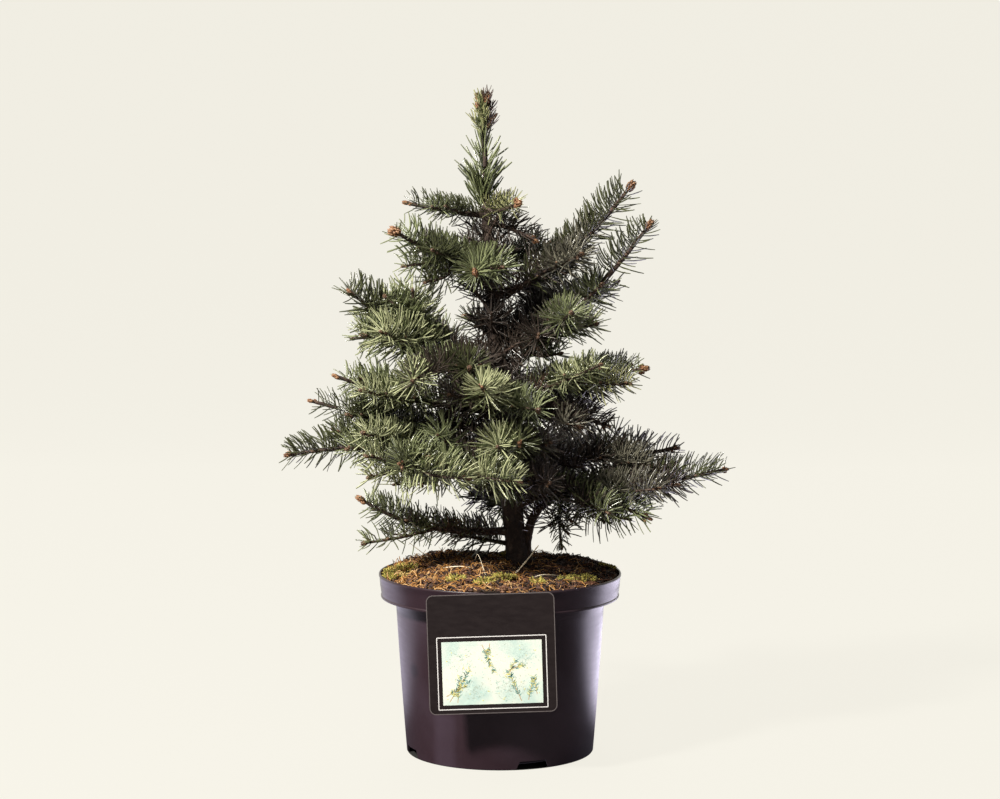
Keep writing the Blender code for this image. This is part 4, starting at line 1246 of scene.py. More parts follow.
def growLimb(one):
    shape = barkShape
    path = smoothPath(one["path"][::3] + [one["path"][-1]], shape["boughStep"])
    length = pathLength(path)
    foot, tip = one["radii"]
    bare = one["needleFrom"] / length

    def radiusAt(k, angle, direction):
        run = k / (len(path) - 1)
        radius = foot + (tip - foot) * min(1, run) ** 0.8
        radius *= 1 + shape["collar"] * math.exp(-run * length / shape["collarLength"])
        spot = path[k] + direction * radius
        old = max(0.15, 1 - run / max(bare, 0.2) * 0.5)
        flaky = flakes(spot, *shape["boughFlakes"]) - shape["flakeMiddle"]
        relief = shape["boughPlates"] * old * flaky * min(1, radius / (2.5 * mm))
        relief += shape["boughPegs"] * max(0.0, math.sin(angle * 4 + k * 1.9) * math.sin(k * 0.9 + angle))
        return radius + relief

    return skinAlong(path, shape["boughSides"], radiusAt)


def barkFinish(name, dark, mid, pale, scale):
    finish = Finish(name, 0.85)
    broad = finish.noise(scale, 4, (1, 1, 0.5))
    fine = finish.noise(scale * 6, 3)
    tone = broad * 0.65 + fine * 0.35
    colour = finish.ramp(tone, (0.36, dark), (0.52, mid), (0.68, pale))
    dust = finish.ramp(finish.noise(scale * 1.7, 2), (0.58, (0, 0, 0)), (0.75, (1, 1, 1)))
    finish.set(BaseColor=finish.mix(dust * 0.35, colour, pale), Roughness=0.75 + fine * 0.2)
    finish.bump(fine + finish.noise(scale * 14, 2) * 0.5, 0.35 * mm, 0.8)
    return finish


def buildBark():
    trunkBark = newPiece("trunk_bark", meshFrom("trunk_bark", *growTrunk()))
    points, faces = [], []
    for one in shoots:
        if one["kind"] == "stem":
            morePoints, moreFaces = growLimb(one)
            faces += [tuple(index + len(points) for index in face) for face in moreFaces]
            points += morePoints
    boughBark = newPiece("bough_bark", meshFrom("bough_bark", points, faces))
    for piece in (trunkBark, boughBark):
        piece.data.shade_smooth()
    settle(trunkBark, "bark", "trunk", finish=barkFinish(
        "old_bark", (0.01, 0.0065, 0.006), (0.034, 0.02, 0.015), (0.1, 0.068, 0.05), 120))
    settle(boughBark, "bark", *boughNodes, finish=barkFinish(
        "bough_bark", (0.012, 0.007, 0.006), (0.038, 0.021, 0.015), (0.11, 0.065, 0.042), 240))


buildBark()


# --- pot

potShape = {
    "rim": 112.5 * mm,
    "height": 167 * mm,
    "wall": 1.5 * mm,
    "band": 22 * mm,
    "draft": 2.5 * mm,
    "bodyTop": 97 * mm,
    "bodyFoot": 87 * mm,
    "floor": 66 * mm,
    "channel": 8 * mm,
    "lip": 0.9 * mm,  # how far the lips of the band stand out
    "sides": 160,
    "notches": (20, 110, 200, 290),
    "notchWidth": 33 * mm,
    "notchTop": 25 * mm,
    "holes": 8,
    "holeRadius": 5 * mm,
}


def potProfile():
    # radius and height, up the outside and down the inside
    shape = potShape
    wall, height, rim, lip, draft = (shape[key] for key in ("wall", "height", "rim", "lip", "draft"))
    floor, channel, foot, top = (shape[key] for key in ("floor", "channel", "bodyFoot", "bodyTop"))
    bandFoot, bandRadius = height - shape["band"], rim - draft
    outside = [(0, 0), (floor - 1 * mm, 0), (floor, 0.6 * mm), (floor + wall, channel),
               (foot - wall, channel), (foot - wall, 0.3 * mm), (foot - wall * 0.6, 0), (foot, 0.5 * mm)]
    # the wall swells a little between its foot and the band
    for k in range(1, 12):
        share = k / 12
        radius = foot + (top - foot) * share
        outside.append((radius + 0.35 * mm * math.sin(share * math.pi), bandFoot * share))
    # a step under the band, the band with its lips, and the rim
    outside += [(top, bandFoot - 1.2 * mm), (top + 0.8 * mm, bandFoot - 0.2 * mm),
                (bandRadius - 0.8 * mm, bandFoot), (bandRadius + lip * 0.6, bandFoot + 0.3 * mm),
                (bandRadius + lip * 0.7, bandFoot + 1.5 * mm), (bandRadius, bandFoot + 2.4 * mm),
                (bandRadius + draft * 0.5, bandFoot + 11 * mm), (rim - lip * 0.7, height - 3.2 * mm),
                (rim - 0.1 * mm, height - 2.4 * mm), (rim, height - 1.1 * mm),
                (rim - 0.4 * mm, height - 0.2 * mm), (rim - 0.9 * mm, height)]
    inside = [(rim - wall, height - 0.3 * mm), (rim - wall - 0.2 * mm, height - 1 * mm),
              (bandRadius - wall, bandFoot + wall), (top - wall, bandFoot + wall),
              (foot - wall, channel + wall), (floor, channel + wall), (floor - wall, wall), (0, wall)]
    return outside + inside


def lathe(name, profile, sides):
    bm = bmesh.new()
    verts = [bm.verts.new((radius, 0, height)) for radius, height in profile]
    edges = [bm.edges.new(pair) for pair in zip(verts, verts[1:])]
    bmesh.ops.spin(bm, geom=verts + edges, cent=(0, 0, 0), axis=up, angle=2 * math.pi, steps=sides,
                   use_merge=True)
    bmesh.ops.remove_doubles(bm, verts=bm.verts, dist=0.01 * mm)
    bmesh.ops.recalc_face_normals(bm, faces=bm.faces)
    return newPiece(name, meshOf(name, bm))


def notchCutter(azimuth):
    shape = potShape
    bm = bmesh.new()
    bmesh.ops.create_cube(bm, size=1)
    for vert in bm.verts:
        width = shape["notchTop"] if vert.co.z > 0 else shape["notchWidth"]
        reach = 6 * mm if vert.co.x > 0 else -6 * mm
        vert.co = (shape["bodyFoot"] + reach, math.copysign(width / 2, vert.co.y),
                   shape["channel"] - 0.3 * mm if vert.co.z > 0 else -2 * mm)
    bm.transform(Matrix.Rotation(math.radians(azimuth), 4, "Z"))
    return bm


def buildPot():
    pot = lathe("pot_wall", potProfile(), potShape["sides"])
    cutters = bpy.data.collections.new("pot_cutters")
    bpy.context.scene.collection.children.link(cutters)
    shapes = [notchCutter(azimuth) for azimuth in potShape["notches"]]
    for k in range(potShape["holes"]):
        turn = Matrix.Rotation(2 * math.pi * (k + 0.5) / potShape["holes"], 4, "Z")
        middle = (potShape["floor"] + potShape["bodyFoot"]) / 2
        bm = bmesh.new()
        bmesh.ops.create_cone(bm, cap_ends=True, segments=24, radius1=potShape["holeRadius"],
                              radius2=potShape["holeRadius"], depth=6 * mm,
                              matrix=turn @ Matrix.Translation((middle, 0, potShape["channel"])))
        shapes.append(bm)
    for bm in shapes:
        cutters.objects.link(bpy.data.objects.new("cutter", meshOf("cutter", bm)))
    cut = pot.modifiers.new("cut", "BOOLEAN")
    cut.operation, cut.solver = "DIFFERENCE", "EXACT"
    cut.operand_type, cut.collection = "COLLECTION", cutters
    made = bpy.data.meshes.new_from_object(pot.evaluated_get(bpy.context.evaluated_depsgraph_get()))
    pot.modifiers.remove(cut)
    pot.data = made
    for cutter in list(cutters.objects):
        bpy.data.objects.remove(cutter)
    bpy.data.collections.remove(cutters)
    pot.data.set_sharp_from_angle(angle=math.radians(38))

    finish = Finish("pot_plastic", 0.4)
    clouds = finish.noise(14, 4)
    specks = finish.ramp(finish.noise(900, 1), (0.7, (0, 0, 0)), (0.78, (1, 1, 1)))
    scuffs = finish.noise(60, 5, (1, 1, 6))
    dusty = finish.ramp(clouds, (0.42, (0, 0, 0)), (0.7, (1, 1, 1)))
    # a painted highlight, a pale patch low on the front, and a painted dark spot to its left where a dent
    # catches no reflection
    parts = finish.node("ShaderNodeSeparateXYZ", {}, {"Vector": finish.place})
    x, height, front = parts.out("X"), parts.out("Z"), parts.out("Y") < 0
    beside = (x + 50 * mm) / (10 * mm)
    paintedHighlight = front * finish.clamp(1.3 - beside * beside) * finish.clamp(5.4 - height / (10 * mm))
    spot = finish.maths("DISTANCE", finish.place, Vector((-78, -49, 84)) * mm)
    # the dust and specks are the plastic's own; the patch adds a painted highlight
    dustAndHighlight = dusty * 0.3 + specks * 0.12 + paintedHighlight * 0.3
    colour = finish.mix(dustAndHighlight, (0.022, 0.011, 0.015), (0.055, 0.038, 0.056))
    # painted shade: a dark spot where a dent catches no reflection
    colour = finish.mix(finish.clamp(1.8 - spot / (5 * mm)) * 0.7, colour, (0.006, 0.003, 0.005))
    finish.set(BaseColor=colour, Roughness=finish.clamp(0.2 + clouds * 0.12 + scuffs * 0.14, 0.18, 0.6))
    finish.bump(scuffs * 0.6 + finish.noise(420, 2) * 0.4, 0.12 * mm, 0.5)
    pot.data.materials.clear()
    settle(pot, "pot_plastic", "pot", finish=finish)


buildPot()


# --- the soil and its litter

bedShape = {
    "edge": 109.4 * mm,
    # radius and height down the pot's inside, in millimetres
    "wall": ((108, 148), (94.8, 147.4), (85, 12)),
    "rings": 58,
    "sides": 260,
    "clumps": 3.2 * mm,
    "clumpScale": 70,
    "grains": 1.1 * mm,
    "grainScale": 230,
    "reach": 106 * mm,  # of the litter
    "sink": 1.2 * mm,  # of the bed under its litter
}
litterKinds = {
    # count, lengths and radii in millimetres, lift above the bed, colour
    "gold": (900, (5, 16), (0.35, 0.75), (0.6, 5.5), (0.34, 0.155, 0.035)),
    "straw": (300, (4, 15), (0.3, 0.65), (1.5, 6.5), (0.56, 0.34, 0.15)),
    "fibre": (1000, (5, 16), (0.4, 0.85), (0.4, 4.5), (0.1, 0.036, 0.014)),
    "dark": (1200, (4, 14), (0.5, 1.1), (0.6, 5), (0.022, 0.011, 0.008)),
}
mossSpots = (
    # x, y and radius in millimetres
    (-96, -14, 13), (-88, 8, 10), (-101, 6, 8), (4, -62, 10), (-14, -74, 8), (76, -42, 12),
    (60, -52, 7), (101, 16, 8), (8, 62, 9), (-40, -58, 7), (34, -66, 6),
)
mossShape = {
    "crowding": 15,  # strands for each millimetre of radius
    "dome": 1.6 * mm,
    "outward": (0.2, 0.9),
    "upward": (0.5, 1.1),
    "lengths": (2.2, 5),  # in millimetres
    "radii": (0.5, 1.0),
    "curl": 0.6,
    "light": (0.44, 0.37, 0.08),
    "dark": (0.2, 0.175, 0.035),
}
heaps = (
    # x, y, radius and height in millimetres
    (-48, 56, 34, 5.5), (-84, 24, 20, 2.5), (18, 84, 36, 5), (72, 56, 34, 5), (92, 4, 22, 2.5),
    (-22, -26, 30, 2),
)
stalks = (
    # start, top and end in millimetres, and radius
    ((14, -36, 171), (24, -42, 184), (35, -46, 199), 0.85),
    ((-52, -8, 172), (-36, -24, 176), (-18, -20, 172), 0.5),
    ((-24, 14, 173), (-20, -20, 186), (-12, -52, 169), 0.45),
    ((26, -52, 168), (38, -58, 174), (58, -40, 170), 0.5),
    ((-66, 44, 172), (-78, 50, 180), (-86, 52, 186), 0.5),
    ((-8, 66, 172), (4, 70, 184), (18, 74, 190), 0.45),
)


def bedLevel(x, y):
    place = Vector((x, y, 0))
    lumps = noise.noise(place * bedShape["clumpScale"]) * bedShape["clumps"]
    grains = noise.noise(place * bedShape["grainScale"]) * bedShape["grains"]
    heaped = 0.0
    for heapX, heapY, radius, height in heaps:
        away = math.hypot(x - heapX * mm, y - heapY * mm) / (radius * mm)
        heaped += height * mm * math.exp(-away**2 * 1.5)
    held = 1 - (math.hypot(x, y) / bedShape["edge"]) ** 6 * 0.8
    return soilLevel(x, y) + lumps + grains + heaped * held


def buildBed():
    shape = bedShape
    rings, sides = shape["rings"], shape["sides"]
    turns = [2 * math.pi * k / sides for k in range(sides)]
    points, faces = [Vector((0, 0, bedLevel(0, 0)))], []
    for ring in range(1, rings + 1):
        radius = shape["edge"] * ring / rings
        for azimuth in turns:
            x, y = radius * math.cos(azimuth), radius * math.sin(azimuth)
            points.append(Vector((x, y, bedLevel(x, y) - shape["sink"])))
    for radius, height in shape["wall"]:
        points += [Vector((radius * math.cos(turn), radius * math.sin(turn), height)) * mm for turn in turns]
    gaps = rings - 1 + len(shape["wall"])
    points.append(Vector((0, 0, shape["wall"][-1][1] * mm)))
    for k in range(sides):
        after = (k + 1) % sides
        faces.append((0, 1 + k, 1 + after))
        for ring in range(gaps):
            inner, outer = 1 + ring * sides, 1 + (ring + 1) * sides
            faces.append((inner + k, outer + k, outer + after, inner + after))
        last = 1 + gaps * sides
        faces.append((last + k, len(points) - 1, last + after))
    finish = Finish("peat", 0.9)
    tone = finish.noise(130, 6)
    finish.set(BaseColor=finish.ramp(tone, (0.34, (0.014, 0.008, 0.006)), (0.5, (0.06, 0.028, 0.014)),
                                     (0.68, (0.2, 0.1, 0.04))))
    finish.bump(finish.noise(520, 4), 0.8 * mm, 0.8)
    piece = newPiece("soil_bed", meshFrom("soil_bed", points, faces))
    piece.data.shade_smooth()
    settle(piece, "peat_and_moss", "root_ball", finish=finish)


def scatterSpot(rng):
    radius = bedShape["reach"] * math.sqrt(rng.random())
    azimuth = rng.uniform(0, 2 * math.pi)
    return radius * math.cos(azimuth), radius * math.sin(azimuth)


def litterPath(rng, x, y, length, lift, steps=5):
    # a curved fibre that lies on the bed, with one end often raised
    azimuth = rng.gauss(0, 0.9) + (math.pi if rng.random() < 0.5 else 0)
    turn = rng.uniform(-2.6, 2.6)
    rise = lift * (1.0 if rng.random() < 0.3 else 0.35)
    base = lift - rise
    path = []
    for k in range(steps + 1):
        share = k / steps
        reach = math.hypot(x, y)
        held = min(1.0, bedShape["reach"] / max(reach, 1 * mm))
        height = bedLevel(x * held, y * held) + base * math.sin(math.pi * share) + rise * share**2
        path.append(Vector((x * held, y * held, height + 0.2 * mm)))
        azimuth += turn / steps
        x += math.cos(azimuth) * length / steps
        y += math.sin(azimuth) * length / steps
    return path


def strands(name, paths, radii, colour, sides=3):
    # thin rods along the paths, tapering a little
    points, edges, thickness = [], [], []
    for path, radius in zip(paths, radii):
        for k, point in enumerate(path):
            if k:
                edges.append((len(points) - 1, len(points)))
            thickness.append(radius * (1 - 0.45 * k / (len(path) - 1)))
            points.append(point)
    mesh = meshFrom(name, points, edges=edges)
    mark(mesh, "thickness", thickness)
    finish = Finish(name, 0.75, BaseColor=colour)
    settings = {"Step": 3.5 * mm, "Knobs": 0.25, "Sides": sides, "Seed": 7, "Material": finish.material}
    piece = growPiece(newPiece(name, mesh), twigTree(), settings)
    settle(piece, "peat_and_moss")


def buildLitter():
    for kind, (count, lengths, radii, lifts, colour) in litterKinds.items():
        rng = random.Random("litter " + kind)
        paths, sizes = [], []
        while len(paths) < count:
            x, y = scatterSpot(rng)
            # the golden fibres lie thickest on the left and in front
            golden = 0.5 - 0.42 * x / bedShape["reach"] - 0.16 * y / bedShape["reach"]
            wanted = golden if kind in ("gold", "straw") else 1.15 - golden
            if rng.random() < wanted:
                heaped = 1 + 0.6 * max(0.0, -x / bedShape["reach"]) * max(0.0, 1 + y / bedShape["reach"])
                lift = rng.uniform(*lifts) * mm * heaped
                paths.append(litterPath(rng, x, y, rng.uniform(*lengths) * mm, lift))
                sizes.append(rng.uniform(*radii) * mm)
        strands("soil_" + kind, paths, sizes, colour)
    paths = [smoothPath([Vector(point) * mm for point in stalk[:3]]) for stalk in stalks]
    strands("soil_stalks", paths, [stalk[3] * mm for stalk in stalks], (0.75, 0.66, 0.5), 6)


def buildMoss():
    rng, shape = random.Random("moss"), mossShape
    paths, sizes = [], []
    for x, y, radius in mossSpots:
        for k in range(int(radius * shape["crowding"])):
            azimuth, reach = rng.uniform(0, 2 * math.pi), radius * math.sqrt(rng.random()) * mm
            out = Vector((math.cos(azimuth), math.sin(azimuth), 0))
            foot = Vector((x, y, 0)) * mm + out * reach
            foot *= min(1, bedShape["reach"] / foot.length)
            foot.z = bedLevel(foot.x, foot.y) + shape["dome"] * (1 - (reach / (radius * mm)) ** 2)
            lean = (out * rng.uniform(*shape["outward"]) + up * rng.uniform(*shape["upward"])).normalized()
            long = rng.uniform(*shape["lengths"]) * mm
            paths.append([foot, foot + lean * long * 0.5, foot + lean * long + out * shape["curl"] * mm])
            sizes.append(rng.uniform(*shape["radii"]) * mm)
    half = len(paths) // 2
    rng.shuffle(paths)
    strands("soil_moss_light", paths[:half], sizes[:half], shape["light"])
    strands("soil_moss_dark", paths[half:], sizes[half:], shape["dark"])


chipShape = {
    # half lengths, widths and thicknesses, and heights over the bed, in millimetres
    "count": 1100,
    "sizes": ((1, 3.4), (0.8, 2), (0.4, 1.2)),
    "heights": (0, 1.8),
    "tilts": (-0.7, 0.7),
}


def buildChips():
    # crumbs and bark chips: flat blocks with jittered corners
    rng = random.Random("chips")
    corners = [(x, y, z) for z in (-1, 1) for x, y in ((-1, -1), (1, -1), (1, 1), (-1, 1))]
    sides = [(0, 3, 2, 1), (4, 5, 6, 7), (0, 1, 5, 4), (1, 2, 6, 5), (2, 3, 7, 6), (3, 0, 4, 7)]
    points, faces = [], []
    for k in range(chipShape["count"]):
        x, y = scatterSpot(rng)
        turn = Matrix.Rotation(rng.uniform(0, 6.3), 3, "Z")
        turn = turn @ Matrix.Rotation(rng.uniform(*chipShape["tilts"]), 3, "X")
        size = Vector([rng.uniform(*sizes) for sizes in chipShape["sizes"]]) * mm
        middle = Vector((x, y, bedLevel(x, y) + rng.uniform(*chipShape["heights"]) * mm))
        first = len(points)
        for corner in corners:
            jittered = Vector([axis * size[n] * rng.uniform(0.55, 1) for n, axis in enumerate(corner)])
            points.append(middle + turn @ jittered)
        faces += [tuple(first + n for n in side) for side in sides]
    finish = Finish("bark_chips", 0.85)
    tone = finish.noise(90, 3)
    finish.set(BaseColor=finish.ramp(tone, (0.35, (0.035, 0.018, 0.014)), (0.55, (0.12, 0.055, 0.032)),
                                     (0.7, (0.3, 0.16, 0.09))))
    piece = newPiece("soil_chips", meshFrom("soil_chips", points, faces))
    settle(piece, "peat_and_moss", finish=finish)


buildBed()
buildLitter()
buildMoss()
buildChips()


# --- the card on the rim

cardShape = {
    "width": 114 * mm,
    "height": 108 * mm,
    "thickness": 0.8 * mm,
    "corner": 6 * mm,
    "middle": -9 * mm,
    "top": 166.5 * mm,
    "turn": math.radians(1.8),
    "gap": 0.3 * mm,
    "hookMiddle": -7 * mm,
    "hookWidth": 14 * mm,
    "hookDrop": 7 * mm,
    # painted highlight: the width of the light edge round the front
    "highlightWidth": 0.7 * mm,  # of the light edge
}
pictureShape = {
    "frameTop": 38 * mm,
    "frameWidth": 98 * mm,
    "frameHeight": 66 * mm,
    "line": 0.8 * mm,
    "margin": 4.4 * mm,  # from the frame line to the picture
    "sprigs": (
        # foot across and up from the picture's lower left corner, heading in degrees, length
        (6, 3, 58, 34), (13, 2, 84, 24), (3, 8, 30, 24), (36, 54, -68, 26), (43, 55, -98, 17),
        (70, 2, 112, 30), (76, 3, 76, 20), (84, 8, 100, 16), (58, 30, 20, 16), (60, 28, 64, 12),
    ),
    # strokes: leaves for each millimetre of a sprig, their angles to it, lengths and widths
    "leaves": (2.4, (30, 70), (2, 4.6), (0.35, 0.7)),
    "leafShare": 0.75,  # the others are dots
    "dots": 46,
    "dotWidths": (0.6, 1.3),
    "tuftLengths": (0.8, 2.4),
    "tuftWidths": (0.25, 0.5),
    # middle, radius and count of strokes
    "tufts": ((16, 40, 13, 90), (60, 12, 14, 150), (28, 14, 11, 90), (76, 40, 10, 60), (44, 28, 40, 190)),
}


def cardPlace():
    shape = cardShape
    back = -potShape["rim"] - shape["gap"]
    place = Matrix.Translation((shape["middle"], back, shape["top"]))
    return place @ Matrix.Rotation(-shape["turn"], 4, "Y")


def roundedPlate(width, height, corner, top=0.0, steps=8):
    outline = []
    high, low, side = top - corner, top - height + corner, width / 2 - corner
    for x, z, start in ((side, high, 0), (-side, high, 90), (-side, low, 180), (side, low, 270)):
        for k in range(steps + 1):
            angle = math.radians(start + 90 * k / steps)
            outline.append((x + corner * math.cos(angle), z + corner * math.sin(angle)))
    return outline


def platePiece(name, outline, front, back, bevel=0.0):
    # a plate between two depths in front of the card's back
    bm = bmesh.new()
    face = bm.faces.new([bm.verts.new((x, -back, z)) for x, z in outline])
    thicken(bm, [face], (0, back - front, 0))
    if bevel:
        rims = [edge for edge in bm.edges if len({round(vert.co.y / mm, 3) for vert in edge.verts}) == 1]
        bmesh.ops.bevel(bm, geom=rims, offset=bevel, segments=2, affect="EDGES")
    bm.transform(cardPlace())
    return newPiece(name, meshOf(name, bm))


def ringPiece(name, outer, inner, front, back):
    # the band between two outlines with the same count of points
    count = len(outer)
    points = [Vector((x, -depth, z)) for depth in (front, back) for x, z in outer + inner]
    faces = []
    for k in range(count):
        after = (k + 1) % count
        faces.append((k, after, count + after, count + k))
        faces.append((2 * count + k, 3 * count + k, 3 * count + after, 2 * count + after))
        faces.append((k, 2 * count + k, 2 * count + after, after))
        faces.append((count + k, count + after, 3 * count + after, 3 * count + k))
    bm = bmesh.new()
    bm.from_mesh(meshFrom(name, points, faces))
    bmesh.ops.recalc_face_normals(bm, faces=bm.faces)
    bm.transform(cardPlace())
    return newPiece(name, meshOf(name, bm))


def plainFinish(name, colour, roughness):
    # a printed colour with a faint mottle
    finish = Finish(name, roughness)
    pale = tuple(min(1, channel * 1.12) for channel in colour)
    finish.set(BaseColor=finish.mix(finish.noise(240, 3), colour, pale))
    return finish


def buildPlate():
    shape = cardShape
    outline = roundedPlate(shape["width"], shape["height"], shape["corner"])
    plate = platePiece("card_plate", outline, shape["thickness"], 0, 0.2 * mm)
    hook = bmesh.new()
    low, over = shape["top"] - 5 * mm, potShape["height"] + shape["gap"]
    back = -potShape["rim"] - shape["gap"]
    half = abs(shape["hookMiddle"]) + shape["hookWidth"] / 2
    inside = potShape["rim"] - potShape["wall"] - potShape["draft"] / 2
    leg = -math.sqrt(inside**2 - half**2) + shape["gap"]
    thick, legFoot = shape["thickness"], potShape["height"] - shape["hookDrop"]
    profile = [(back - thick / 2, low), (back - thick / 2, over + thick), (leg + thick, over + thick),
               (leg + thick, legFoot), (leg, legFoot), (leg, over), (back, over), (back, low)]
    left = shape["hookMiddle"] - shape["hookWidth"] / 2
    face = hook.faces.new([hook.verts.new((left, y, z)) for y, z in profile])
    thicken(hook, [face], (shape["hookWidth"], 0, 0))
    hook.from_mesh(plate.data)
    hook.to_mesh(plate.data)
    hook.free()
    finish = Finish("card_black", 0.36)
    scuffs = finish.noise(90, 4, (1, 1, 3))
    finish.set(BaseColor=finish.mix(scuffs, (0.008, 0.005, 0.005), (0.016, 0.01, 0.01)),
               Roughness=finish.clamp(0.28 + scuffs * 0.2, 0.25, 0.6))
    settle(plate, "printed_card", "label_card", finish=finish)
    # a painted highlight: a light edge round the front where light catches the rim
    inset = shape["highlightWidth"]
    inner = roundedPlate(shape["width"] - 2 * inset, shape["height"] - 2 * inset, shape["corner"] - inset,
                         -inset)
    edge = ringPiece("card_edge", outline, inner, thick + 0.06 * mm, thick - 0.3 * mm)
    settle(edge, "printed_card", finish=plainFinish("card_edge", (0.1, 0.085, 0.085), 0.4))


def pictureSpot(across, rise, depth):
    shape = pictureShape
    left = -shape["frameWidth"] / 2 + shape["margin"]
    low = -shape["frameTop"] - shape["frameHeight"] + shape["margin"]
    return cardPlace() @ Vector((left + across * mm, -cardShape["thickness"] - depth, low + rise * mm))


def flatWay(angle):
    return Vector((math.cos(angle), math.sin(angle)))


def flatStrands(name, strokes, depth, colour):
    # flat slivers printed on the picture: foot, tip and width in millimetres
    points, faces = [], []
    for foot, tip, width in strokes:
        way = (tip - foot).normalized()
        side = Vector((-way.y, way.x)) * width / 2
        middle = foot.lerp(tip, 0.45)
        first = len(points)
        for corner in (foot - side * 0.6, middle - side, tip, middle + side, foot + side * 0.6):
            points.append(pictureSpot(corner.x, corner.y, depth))
        faces.append(tuple(range(first, first + 5)))
    bm = bmesh.new()
    bm.from_mesh(meshFrom(name, points, faces))
    thicken(bm, bm.faces[:], (0, 0.04 * mm, 0))
    piece = newPiece(name, meshOf(name, bm))
    settle(piece, "printed_card", finish=plainFinish(name, colour, 0.5))


def buildPicture():
    shape, thick = pictureShape, cardShape["thickness"]
    outer = roundedPlate(shape["frameWidth"], shape["frameHeight"], 1 * mm, -shape["frameTop"])
    line = shape["line"]
    inner = roundedPlate(shape["frameWidth"] - 2 * line, shape["frameHeight"] - 2 * line, 0.4 * mm,
                         -shape["frameTop"] - line)
    frameLine = ringPiece("card_frame", outer, inner, thick + 0.05 * mm, thick - 0.1 * mm)
    settle(frameLine, "printed_card", finish=plainFinish("card_white", (0.62, 0.6, 0.6), 0.5))
    wide, high = shape["frameWidth"] - 2 * shape["margin"], shape["frameHeight"] - 2 * shape["margin"]
    panelOutline = roundedPlate(wide, high, 0.3 * mm, -shape["frameTop"] - shape["margin"])
    panel = platePiece("card_picture", panelOutline, thick + 0.05 * mm, thick - 0.1 * mm)
    finish = Finish("card_picture", 0.5)
    haze = finish.noise(34, 4)
    leafy = finish.ramp(finish.noise(210, 5), (0.5, (0, 0, 0)), (0.68, (1, 1, 1)))
    pale = finish.ramp(haze, (0.36, (0.46, 0.58, 0.53)), (0.5, (0.62, 0.67, 0.6)),
                       (0.66, (0.74, 0.73, 0.62)))
    finish.set(BaseColor=finish.mix(leafy * 0.5, pale, (0.55, 0.7, 0.62)))
    settle(panel, "printed_card", finish=finish)
    # sprigs with fine leaves, and dots
    right, top = wide / mm, high / mm
    rng = random.Random("picture")
    stems, leaves, lights = [], [], []
    crowding, turns, lengths, widths = shape["leaves"]
    for across, rise, azimuth, length in shape["sprigs"]:
        foot = Vector((across, rise))
        way = flatWay(math.radians(azimuth))
        stems.append((foot, foot + way * length, 0.9))
        for k in range(int(length * crowding)):
            spot = foot + way * length * rng.uniform(0.15, 1)
            lean = math.radians(azimuth + rng.choice((-1, 1)) * rng.uniform(*turns))
            tip = spot + flatWay(lean) * rng.uniform(*lengths)
            if 0.5 < tip.x < right - 0.5 and 0.5 < tip.y < top - 0.5:
                strokes = leaves if rng.random() < shape["leafShare"] else lights
                strokes.append((spot, tip, rng.uniform(*widths)))
    for k in range(shape["dots"]):
        spot = Vector((rng.uniform(3, right - 3), rng.uniform(3, top - 3)))
        tip = spot + Vector((rng.uniform(0.6, 1.4), rng.uniform(-0.5, 0.5)))
        lights.append((spot, tip, rng.uniform(*shape["dotWidths"])))
    inside = [stroke for stroke in stems if 0.5 < stroke[1].y < top - 0.5]
    tufts = []
    for across, rise, radius, count in shape["tufts"]:
        for k in range(count):
            lean, away = rng.uniform(0, math.pi), radius * rng.random() ** 0.7
            turn = rng.uniform(0, 2 * math.pi)
            spot = Vector((across + away * math.cos(turn), rise + away * math.sin(turn)))
            tip = spot + flatWay(lean) * rng.uniform(*shape["tuftLengths"])
            if 1 < spot.x < right - 3 and 1 < spot.y < top - 3:
                tufts.append((spot, tip, rng.uniform(*shape["tuftWidths"])))
    half = len(tufts) // 2
    rng.shuffle(tufts)
    flatStrands("card_tufts", tufts[:half], 0.08 * mm, (0.3, 0.47, 0.45))
    flatStrands("card_twigs", tufts[half:], 0.11 * mm, (0.34, 0.38, 0.3))
    flatStrands("card_stems", inside, 0.09 * mm, (0.42, 0.27, 0.13))
    flatStrands("card_leaves", leaves, 0.13 * mm, (0.17, 0.32, 0.28))
    flatStrands("card_dots", lights, 0.17 * mm, (0.66, 0.6, 0.2))


buildPlate()
buildPicture()


# --- floor, light and camera

stageShape = {
    "cream": (0.88, 0.855, 0.77),
    "glow": 0.974,
    "reach": 6.0,
    "glossFrom": 0.6,
    # painted shadow: the floor doesn't glow within this radius, under the pot
    "potShadowRadius": 86.5 * mm,
    "leftStrip": 1.4,  # how strongly the pot's sides mirror pale strips beside them
    "rightStrip": 4.0,
    "stripTint": (0.86, 0.8, 1),
    # the floor's straight part ends at the bend's start and turns up with the bend's radius
    "bendStart": 2.0,
    "bend": 1.5,
    "wallTop": 5.0,
    "sunk": 0.0002,  # below the pot's foot
    "dim": (0.3, 0.29, 0.27),  # what the plant sees of the floor
    "sky": (1, 0.95, 0.86, 1),
    "skyStrength": 0.17,
    "lens": 98.1,
    "camera": (0, -2.5, 0.595),
    "tilt": math.radians(90 - 6.1),
}
lamps = {
    # place, target, size, power, colour
    "key": ((-1.6, -1.5, 2.1), (0, 0, 0.35), 0.32, 215, (1, 0.97, 0.9)),
    "fill": ((1.8, -2.2, 1.2), (0, 0, 0.3), 1.6, 5, (0.9, 0.9, 1)),
}


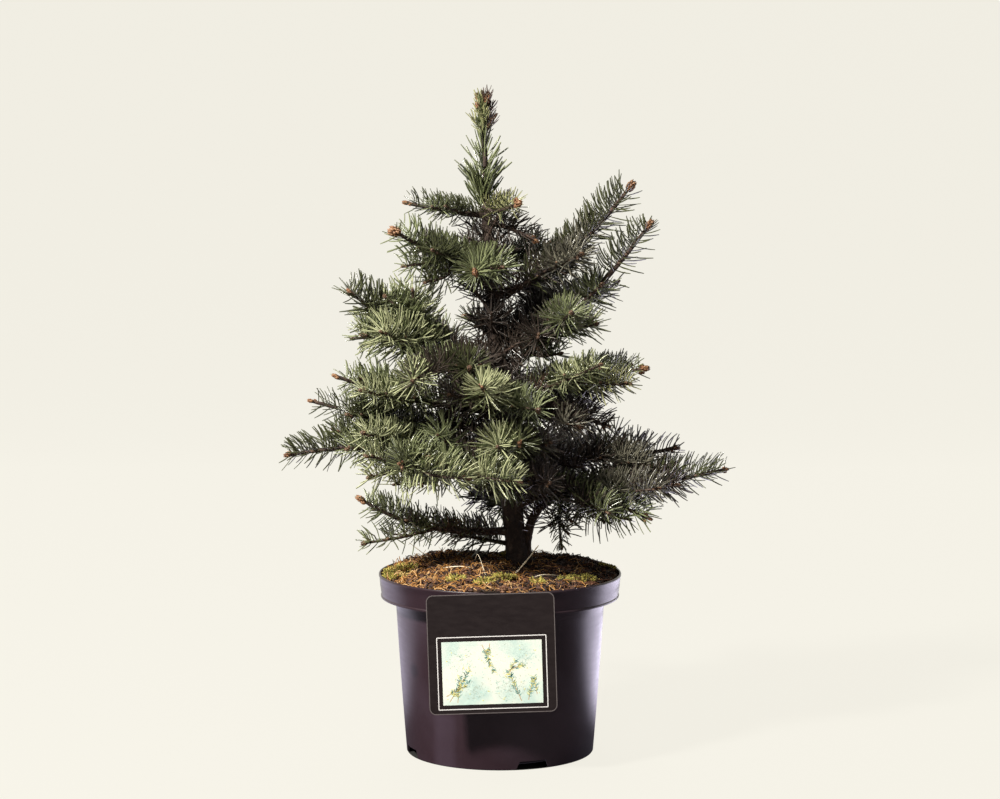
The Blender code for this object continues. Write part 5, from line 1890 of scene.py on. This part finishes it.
def buildFloor():
    # a pale floor that curves up into a backdrop behind the plant
    shape = stageShape
    reach, start, bend = shape["reach"], shape["bendStart"], shape["bend"]
    profile = [(-reach, 0.0), (start, 0.0)]
    for angle in np.linspace(0.1, math.pi / 2, 16):
        profile.append((start + bend * math.sin(angle), bend - bend * math.cos(angle)))
    profile.append((start + bend, shape["wallTop"]))
    points = [(x, y, z - shape["sunk"]) for y, z in profile for x in (-reach, reach)]
    faces = [(2 * k, 2 * k + 1, 2 * k + 3, 2 * k + 2) for k in range(len(profile) - 1)]
    floor = newPiece("floor", meshFrom("floor", points, faces))
    finish = Finish("pale_floor", 0.9, BaseColor=(0.006, 0.006, 0.005))
    path = finish.node("ShaderNodeLightPath")
    parts = finish.node("ShaderNodeSeparateXYZ", {}, {"Vector": finish.place})
    across, depth = parts.out("X"), parts.out("Y")
    # painted shadow: the floor doesn't glow where the pot stands
    open = finish.maths("LENGTH", finish.place) > shape["potShadowRadius"]
    glow = finish.node("ShaderNodeEmission", {}, {"Color": shape["cream"], "Strength": open * shape["glow"]})
    dim = finish.node("ShaderNodeBsdfDiffuse", {}, {"Color": shape["dim"]})
    lit = finish.join("ShaderNodeAddShader", glow, Wire(finish, finish.shader.outputs[0]))
    # gloss sees the backdrop behind the plant and a pale strip on either side of the pot
    behind = finish.clamp(depth * 8 - 0.4)
    strips = finish.clamp(across * 8 - 0.7) * behind * shape["rightStrip"]
    strips = strips + finish.clamp(across * -8 - 0.7) * behind * shape["leftStrip"]
    strips = strips * (depth < shape["glossFrom"]) * open + 0.12
    tinted = finish.node("ShaderNodeEmission", {}, {"Color": shape["stripTint"], "Strength": strips})
    mirrored = finish.join("ShaderNodeMixShader", tinted, lit, depth > shape["glossFrom"])
    unseen = finish.join("ShaderNodeMixShader", dim, mirrored, path.out("Is Glossy Ray"))
    finish.feed(finish.tree.nodes["Material Output"].inputs["Surface"],
                finish.join("ShaderNodeMixShader", unseen, lit, path))
    floor.data.materials.append(finish.material)
    floor.data.shade_smooth()


def addLight(name, place, target, size, power, colour):
    lamp = bpy.data.lights.new(name, "AREA")
    lamp.energy, lamp.size, lamp.color = power, size, colour
    light = newPiece(name, lamp)
    light.location = place
    light.rotation_euler = (Vector(target) - Vector(place)).to_track_quat("-Z", "Y").to_euler()


def buildStage():
    buildFloor()
    for name, settings in lamps.items():
        addLight(name, *settings)
    scene, world = bpy.context.scene, bpy.data.worlds.new("studio")
    world.use_nodes = True
    sky = world.node_tree.nodes["Background"].inputs
    sky["Color"].default_value, sky["Strength"].default_value = stageShape["sky"], stageShape["skyStrength"]
    scene.world = world
    scene.view_settings.view_transform = "Standard"
    camera = bpy.data.cameras.new("camera")
    camera.lens = stageShape["lens"]
    holder = newPiece("camera", camera)
    holder.location = stageShape["camera"]
    holder.rotation_euler = (stageShape["tilt"], 0, 0)
    scene.camera = holder


buildStage()
